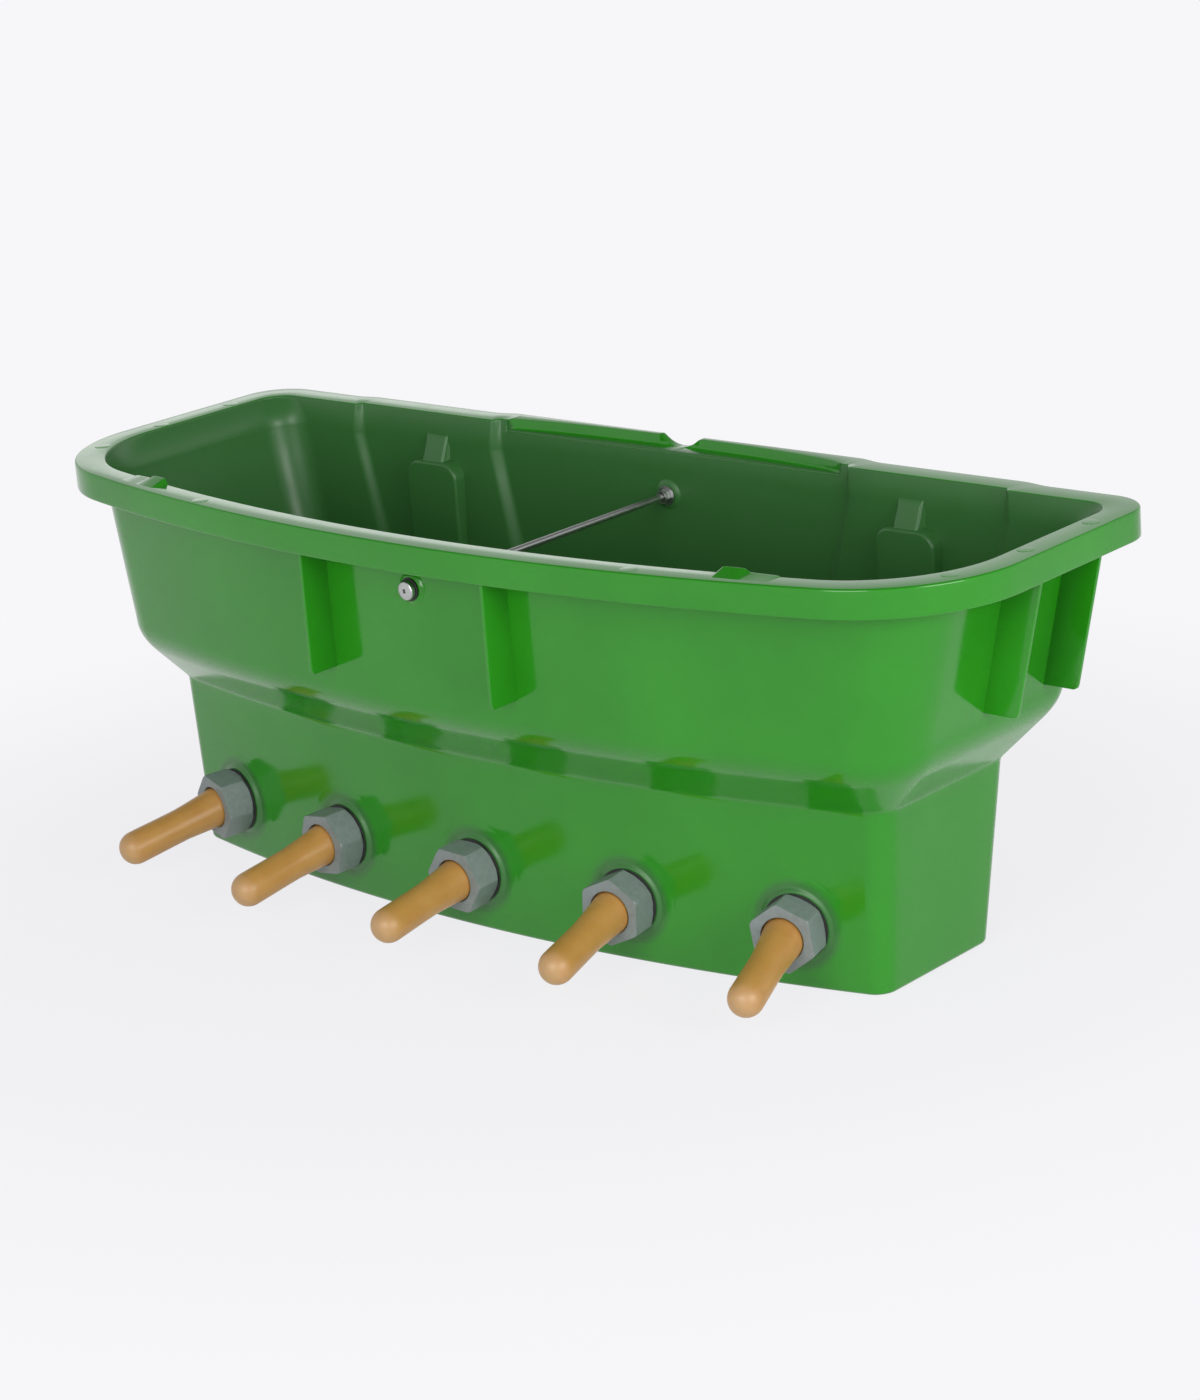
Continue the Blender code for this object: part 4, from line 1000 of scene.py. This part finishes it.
# %% Ejector pin marks
MARK_PLACES = ((0.438, 0.108), (0.438, 0.028), (0.428, -0.047), (0.217, -0.137))
MARK_RADIUS = 0.0065
mark_profile = rounded([(0.0, RIM_TOP - 0.0005), (MARK_RADIUS, RIM_TOP - 0.0005),
                        (MARK_RADIUS, RIM_TOP + 0.0002), (0.0, RIM_TOP + 0.0002)], 0.0001,
                       closed=False)
for number, (x, y) in enumerate(MARK_PLACES, start=1):
    for side, name in ((-1, "left"), (1, "right")):
        mark = turn("ejector_mark_%s_%d" % (name, number), mark_profile,
                    Matrix.Translation((side * x, y, 0.0)), closed=False, sides=40)
        finish_piece(mark, "trough", "tub_green")
print("eight pin marks")

# %% [markdown]
# ## The tie bolt
# A stainless bolt crosses the mouth and keeps the long walls from spreading when the tub is full.
# Its head is a flanged button with a hexagon socket, and a nut and washer hold each wall from
# inside. Heights along the bolt are measured from the middle of the tub towards its head.

# %% Bolt, washers and nuts
TIE_HEIGHT = 0.283
TIE_RADIUS = 0.0028
TIE_SIDES = 72
TIE_NUT = 0.0050
TIE_WASHER = 0.0012
TIE_SEAL = 0.0015
TIE_PAD_PROUD = 0.0018
TIE_PAD_FACE = 0.0092
TIE_PAD_RADIUS = 0.0130
WASHER_RADIUS = 0.0080
SEAL_RADIUS = 0.0088
FILM_AND_SHADE_INSET = 0.0045
tie_matrix = Matrix.Rotation(math.radians(90.0), 4, "X")
tie_matrix.translation = Vector((0.0, 0.0, TIE_HEIGHT))
wall_share = (TIE_HEIGHT - WIDE_BOTTOM) / (WIDE_TOP - WIDE_BOTTOM)
tie_plan = mix(wide_low, wide_high, wall_share)
front_outer = -tie_plan.front + TIE_PAD_PROUD
front_inner = -tie_plan.front - WALL - 0.0009
back_inner = -back_line(tie_plan) + WALL + 0.0018
back_outer = -back_line(tie_plan) - TIE_PAD_PROUD
bore = TIE_RADIUS + GAP
head = front_outer + TIE_SEAL + 2.0 * GAP
washer_high = back_outer - TIE_SEAL - 2.0 * GAP
lock_high = washer_high - TIE_WASHER - GAP
tail = lock_high - TIE_NUT - 0.0005


# Painted shade: the inner part of each tie pad gets the greyer, darker film green, along with the
# real dull film.
def tie_film_and_shade(vertex):
    return FILM_AND_SHADE_INSET - front_outer < vertex.co.y < -FILM_AND_SHADE_INSET - back_outer


for name, low, high in (("tie_pad_front", front_inner, front_outer),
                        ("tie_pad_back", back_outer, back_inner)):
    profile = rounded([(bore, low), (TIE_PAD_FACE, low), (TIE_PAD_RADIUS, low + 0.0020),
                       (TIE_PAD_RADIUS, high - 0.0020), (TIE_PAD_FACE, high), (bore, high)],
                      0.0012)
    pad = turn(name, profile, tie_matrix, sides=64)
    mark_film_and_shade(pad, tie_film_and_shade)
    finish_piece(pad, "trough", "tub_green")

HEAD_PROFILE = ((TIE_RADIUS, 0.0), (0.0072, 0.0), (0.0075, 0.0003), (0.0075, 0.0022),
                (0.0074, 0.0029), (0.0071, 0.0035), (0.0065, 0.0039), (0.0055, 0.0042),
                (0.0035, 0.0044), (0.0020, 0.0045))
SOCKET = ((0.0045, 0.0034), (0.0042, 0.0030), (0.0018, 0.0030))
profile = [(AXIS, tail), (0.0022, tail), (TIE_RADIUS, tail + 0.0006)]
profile += [(radius, head + height) for radius, height in HEAD_PROFILE]
rings = [circle(radius, height, TIE_SIDES) for radius, height in profile]
rings += [hexagon(head + height, flats, 0.0002, TIE_SIDES) for height, flats in SOCKET]
rings.append(circle(AXIS, head + 0.0012, TIE_SIDES))
bolt = place_piece(skin("socket_bolt", rings, caps=False, angle=35.0), tie_matrix)
finish_piece(bolt, "trough", "tie_steel", "tie_bolt")

for name, low in (("tie_front_seal", front_outer + GAP),
                  ("tie_front_inner_washer", front_inner - GAP - TIE_WASHER),
                  ("tie_back_inner_washer", back_inner + GAP),
                  ("tie_back_seal", back_outer - GAP - TIE_SEAL),
                  ("tie_back_washer", washer_high - TIE_WASHER)):
    thick, outer, slot = TIE_WASHER, WASHER_RADIUS, "tie_steel"
    if "seal" in name:
        thick, outer, slot = TIE_SEAL, SEAL_RADIUS, "seal_black"
    profile = flat_ring(bore, outer, low, low + thick, 0.0003)
    finish_piece(turn(name + "_ring", profile, tie_matrix, sides=64), "trough", slot, name)

NUT_OFFSET = TIE_WASHER + 2.0 * GAP
for name, low, turned in (("tie_front_inner_nut", front_inner - NUT_OFFSET - TIE_NUT, 5.0),
                          ("tie_back_inner_nut", back_inner + NUT_OFFSET, 20.0),
                          ("tie_lock_nut", lock_high - TIE_NUT, 11.0)):
    high = low + TIE_NUT
    hole = rounded([(bore + 0.0004, high), (bore, high - 0.0004),
                    (bore, low + 0.0004), (bore + 0.0004, low)], 0.0002, closed=False)
    nut = nut_skin(name + "_steel", 0.0100, low, high, 0.0006, 0.0006, 0.0003, TIE_SIDES, hole)
    place_piece(nut, tie_matrix @ Matrix.Rotation(math.radians(turned), 4, "Z"))
    finish_piece(nut, "trough", "tie_steel", name)
print("bolt is", round((head - tail) * 1000, 1), "mm long under its head")

# %% [markdown]
# ## Colours and finishes
# Colours are written as sRGB hex values, as a paint chart gives them, and one function turns them
# to the linear numbers that the shader works in. The other helpers add one kind of node each.

# %% Helpers for materials
def linear(code):
    channels = [int(code[start:start + 2], 16) / 255.0 for start in (0, 2, 4)]
    values = [c / 12.92 if c <= 0.04045 else ((c + 0.055) / 1.055) ** 2.4 for c in channels]
    return (values[0], values[1], values[2], 1.0)


def set_inputs(tree, node, inputs):
    """Each input is a number, a colour, or the output socket that it is linked to."""
    for name, value in inputs.items():
        if isinstance(value, bpy.types.NodeSocket):
            tree.links.new(value, node.inputs[name])
        else:
            node.inputs[name].default_value = value


def add_node(tree, kind, inputs=None, **settings):
    node = tree.nodes.new(kind)
    for name, value in settings.items():
        setattr(node, name, value)
    set_inputs(tree, node, inputs or {})
    return node


def new_material(name):
    material = bpy.data.materials.new(name)
    material.use_nodes = True
    tree = material.node_tree
    place = add_node(tree, "ShaderNodeTexCoord").outputs["Object"]
    return material, tree, tree.nodes["Principled BSDF"], place


def noise(tree, place, scale, detail, **more):
    """A cloudy pattern. With a scale of 100 its clouds are about a centimetre across."""
    inputs = {"Vector": place, "Scale": scale, "Detail": detail, **more}
    return add_node(tree, "ShaderNodeTexNoise", inputs).outputs["Fac"]


def two_tones(tree, pattern, dark, pale, low=0.0, high=1.0):
    """The pattern's values from low to high become colours from dark to pale."""
    ramp = add_node(tree, "ShaderNodeValToRGB", {"Fac": pattern})
    for element, position, code in zip(ramp.color_ramp.elements, (low, high), (dark, pale)):
        element.position = position
        element.color = linear(code)
    return ramp.outputs["Color"]


def mapped(tree, value, low, high, from_low=0.0, from_high=1.0, kind="LINEAR"):
    """Maps a value to the range from low to high."""
    inputs = {"Value": value, "To Min": low, "To Max": high, "From Min": from_low,
              "From Max": from_high}
    return add_node(tree, "ShaderNodeMapRange", inputs, interpolation_type=kind).outputs["Result"]


def mixed(tree, share, first, second):
    """Mixes two colours."""
    inputs = {"Factor": share, 6: first, 7: second}
    return add_node(tree, "ShaderNodeMix", inputs, data_type="RGBA").outputs[2]


def bumped(tree, pattern, strength, depth):
    inputs = {"Height": pattern, "Strength": strength, "Distance": depth}
    return add_node(tree, "ShaderNodeBump", inputs).outputs["Normal"]


def point_value(tree, name):
    return add_node(tree, "ShaderNodeAttribute", attribute_name=name).outputs["Fac"]


# %% [markdown]
# ## Green tub: injection-moulded polypropylene
# Polypropylene has an IOR of about 1.49 and comes out of a polished mould glossy. The melt's flow
# gives soft lighter and darker clouds some 120 mm across, and handling leaves fine dull rubs.
# Where the milk film lies, the gloss is gone, and its greyer, darker green is painted shade on
# the tub's inside and round each nut.

# %% Moulded green polypropylene
FILM_DULLNESS = 0.26
green, tree, shader, place = new_material("moulded_green_polypropylene")
tint = two_tones(tree, noise(tree, place, 8.0, 3.0), "238313", "298E17", 0.30, 0.72)
rubs = noise(tree, place, 55.0, 6.0, Roughness=0.65)
gloss = mapped(tree, rubs, 0.09, 0.17, 0.35, 0.75)
# Painted shade: the film's colour 376F35 is a greyer, darker green on the tub's inside and round
# each nut; the added roughness is the real dull film.
film_and_shade = point_value(tree, "milk_film")
dull = add_node(tree, "ShaderNodeMath", {0: film_and_shade, 1: FILM_DULLNESS, 2: gloss},
                operation="MULTIPLY_ADD")
set_inputs(tree, shader, {"Base Color": mixed(tree, film_and_shade, tint, linear("376F35")),
                          "Roughness": dull.outputs["Value"], "IOR": 1.49,
                          "Normal": bumped(tree, noise(tree, place, 900.0, 2.0), 0.03, 0.0003)})

# %% [markdown]
# ## Grey nuts: glass-filled nylon
# The short glass fibres leave a satin skin with faint cloudy streaks, here also as a fine bump.

# %% Moulded grey glass-filled nylon
grey, tree, shader, place = new_material("moulded_grey_glass_filled_nylon")
fibres = noise(tree, place, 220.0, 5.0, Distortion=0.8)
set_inputs(tree, shader, {"Base Color": two_tones(tree, fibres, "788180", "858F8F", 0.30, 0.75),
                          "Roughness": mapped(tree, fibres, 0.34, 0.52), "IOR": 1.53,
                          "Normal": bumped(tree, fibres, 0.15, 0.0004)})

# %% [markdown]
# ## Amber teats: dipped natural latex
# Natural latex is slightly translucent, so light that enters at one side comes out warmer nearby.
# The wall is a little cloudy, its skin has a soft sheen with faint wrinkles, and its end is
# painted paler as a painted highlight. The point value "reach" says how far along the teat a
# point is.

# %% Dipped amber latex
amber, tree, shader, place = new_material("dipped_amber_latex")
cloud = noise(tree, place, 60.0, 4.0)
tint = two_tones(tree, cloud, "B98643", "C3914E", 0.30, 0.75)
# Painted highlight: the last fifth of each teat blends to the paler C0996A.
painted_tip_highlight = mapped(tree, point_value(tree, "reach"), 0.0, 1.0, 0.80, 1.0, "SMOOTHSTEP")
set_inputs(tree, shader, {"Base Color": mixed(tree, painted_tip_highlight, tint, linear("C0996A")),
                          "Roughness": mapped(tree, cloud, 0.32, 0.48), "IOR": 1.52,
                          "Normal": bumped(tree, noise(tree, place, 420.0, 3.0), 0.10, 0.0004),
                          "Subsurface Weight": 0.25, "Subsurface Scale": 1.0,
                          "Subsurface Radius": (0.006, 0.003, 0.001)})

# %% [markdown]
# ## Black rubber, white acetal and stainless steel
# The rubber rings are dull and slightly bloomed. The spigots and balls are white acetal, smooth
# but not bright. The bolt set is stainless steel, turned and then tumbled to a soft shine. Their
# finishes differ only in numbers, so one function makes all three.

# %% Rubber, acetal and steel
def clouded(name, scale, detail, tones, dullness, **settings):
    material, tree, shader, place = new_material(name)
    pattern = noise(tree, place, scale, detail)
    set_inputs(tree, shader, {"Base Color": two_tones(tree, pattern, *tones),
                              "Roughness": mapped(tree, pattern, *dullness), **settings})
    return material


black = clouded("moulded_black_rubber", 300.0, 4.0, ("141514", "262826"), (0.55, 0.80), IOR=1.52)
white = clouded("moulded_white_acetal", 120.0, 3.0, ("CFCFC6", "DEDED6"), (0.28, 0.42), IOR=1.48)
steel = clouded("turned_stainless_steel", 500.0, 3.0, ("A9ABA9", "C6C8C6"), (0.28, 0.44),
                Metallic=1.0)

# %% Give every piece its finish
finish_words = (("nylon_ball", white), ("threaded_spigot", white), ("rubber_", black),
                ("_seal_ring", black), ("hexagon_nut", grey), ("latex_teat", amber),
                ("socket_bolt", steel), ("washer_ring", steel), ("_steel", steel))
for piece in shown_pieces():
    chosen = [material for word, material in finish_words if word in piece.name] or [green]
    piece.data.materials.clear()
    piece.data.materials.append(chosen[0])

# %% [markdown]
# ## Floor, light and camera
# The object stands on a plain pale floor under soft lamps. Near it the floor takes the shadow.
# Farther out it turns to an even glow of the same white for the camera and for reflections, so
# that glossy walls show the white studio. No lamp gets stronger for that.

# %% Floor
def seen_rays(tree):
    """1 for a ray from the camera, a reflection or through glass, 0 for light on a surface."""
    rays = add_node(tree, "ShaderNodeLightPath").outputs
    seen = rays["Is Camera Ray"]
    for other in (rays["Is Glossy Ray"], rays["Is Transmission Ray"]):
        seen = add_node(tree, "ShaderNodeMath", {0: seen, 1: other},
                        operation="MAXIMUM").outputs["Value"]
    return seen


STUDIO_WHITE = linear("F7F6F9")
select_only()
bpy.ops.mesh.primitive_plane_add(size=60.0, location=(0.0, 0.0, -0.0002))
floor = bpy.context.object
floor.name = "studio_floor"
paper, tree, shader, place = new_material("pale_studio_paper")
set_inputs(tree, shader, {"Base Color": linear("F2F1F4"), "Roughness": 0.9,
                          "Specular IOR Level": 0.1})
reach = add_node(tree, "ShaderNodeVectorMath", {0: place}, operation="LENGTH").outputs["Value"]
even = mapped(tree, reach, 0.85, 1.0, 0.40, 0.95, "SMOOTHSTEP")
share = add_node(tree, "ShaderNodeMath", {0: seen_rays(tree), 1: even}, operation="MULTIPLY")
glow = add_node(tree, "ShaderNodeEmission", {"Color": STUDIO_WHITE, "Strength": 1.0})
blend = add_node(tree, "ShaderNodeMixShader", {0: share.outputs["Value"],
                                               1: shader.outputs["BSDF"],
                                               2: glow.outputs["Emission"]})
set_inputs(tree, tree.nodes["Material Output"], {"Surface": blend.outputs["Shader"]})
floor.data.materials.append(paper)

# %% World
world = bpy.data.worlds.new("studio")
bpy.context.scene.world = world
world.use_nodes = True
tree = world.node_tree
direction = add_node(tree, "ShaderNodeTexCoord").outputs["Generated"]
height = add_node(tree, "ShaderNodeSeparateXYZ", {0: direction}).outputs["Z"]
overhead = mapped(tree, height, 1.0, 0.08, 0.32, 0.75, "SMOOTHSTEP")
fill_light = tree.nodes["Background"]
set_inputs(tree, fill_light, {"Color": linear("F7F8FA"), "Strength": 0.45})
seen = add_node(tree, "ShaderNodeBackground", {"Color": STUDIO_WHITE, "Strength": overhead})
blend = add_node(tree, "ShaderNodeMixShader", {0: seen_rays(tree),
                                               1: fill_light.outputs["Background"],
                                               2: seen.outputs["Background"]})
set_inputs(tree, tree.nodes["World Output"], {"Surface": blend.outputs["Shader"]})


# %% Lamps
def soft_lamp(name, place, aim, width, height, power):
    """A soft box that points from its place to its aim."""
    light = bpy.data.lights.new(name, "AREA")
    light.shape = "RECTANGLE"
    light.size = width
    light.size_y = height
    light.energy = power
    lamp = bpy.data.objects.new(name, light)
    bpy.context.scene.collection.objects.link(lamp)
    lamp.location = place
    lamp.rotation_euler = (Vector(aim) - Vector(place)).to_track_quat("-Z", "Y").to_euler()
    lamp.visible_camera = False


soft_lamp("key_lamp", (0.9, -2.6, 1.0), (0.0, 0.0, 0.15), 1.4, 1.4, 32.0)
soft_lamp("side_lamp", (2.6, -0.5, 0.9), (0.0, 0.0, 0.15), 1.2, 1.2, 31.0)
soft_lamp("back_lamp", (-2.6, 2.3, 0.95), (0.0, 0.0, 0.3), 1.4, 0.5, 1.5)

# %% [markdown]
# The camera stands where the photographer stood: high to the right, turned 42 degrees from the
# front, with a long lens. Its numbers come from fitting the model's edges to the photograph.

# %% Camera
CAMERA_PLACE = Vector((1.9553, -2.0945, 1.0500))
YAW = math.radians(42.186)
PITCH = math.radians(17.345)
ROLL = math.radians(-4.337)
look = Vector((-math.sin(YAW) * math.cos(PITCH), math.cos(YAW) * math.cos(PITCH),
               -math.sin(PITCH)))
level = Vector((math.cos(YAW), math.sin(YAW), 0.0))
upright = level.cross(look)
camera_right = level * math.cos(ROLL) + upright * math.sin(ROLL)
camera_up = upright * math.cos(ROLL) - level * math.sin(ROLL)
lens = bpy.data.cameras.new("photo_camera")
lens.lens = 100.07
lens.sensor_fit = "AUTO"
lens.sensor_width = 36.0
camera = bpy.data.objects.new("photo_camera", lens)
bpy.context.scene.collection.objects.link(camera)
camera.location = CAMERA_PLACE
camera.rotation_euler = Matrix((camera_right, camera_up, -look)).transposed().to_euler()
bpy.context.scene.camera = camera
bpy.context.scene.view_settings.view_transform = "Standard"
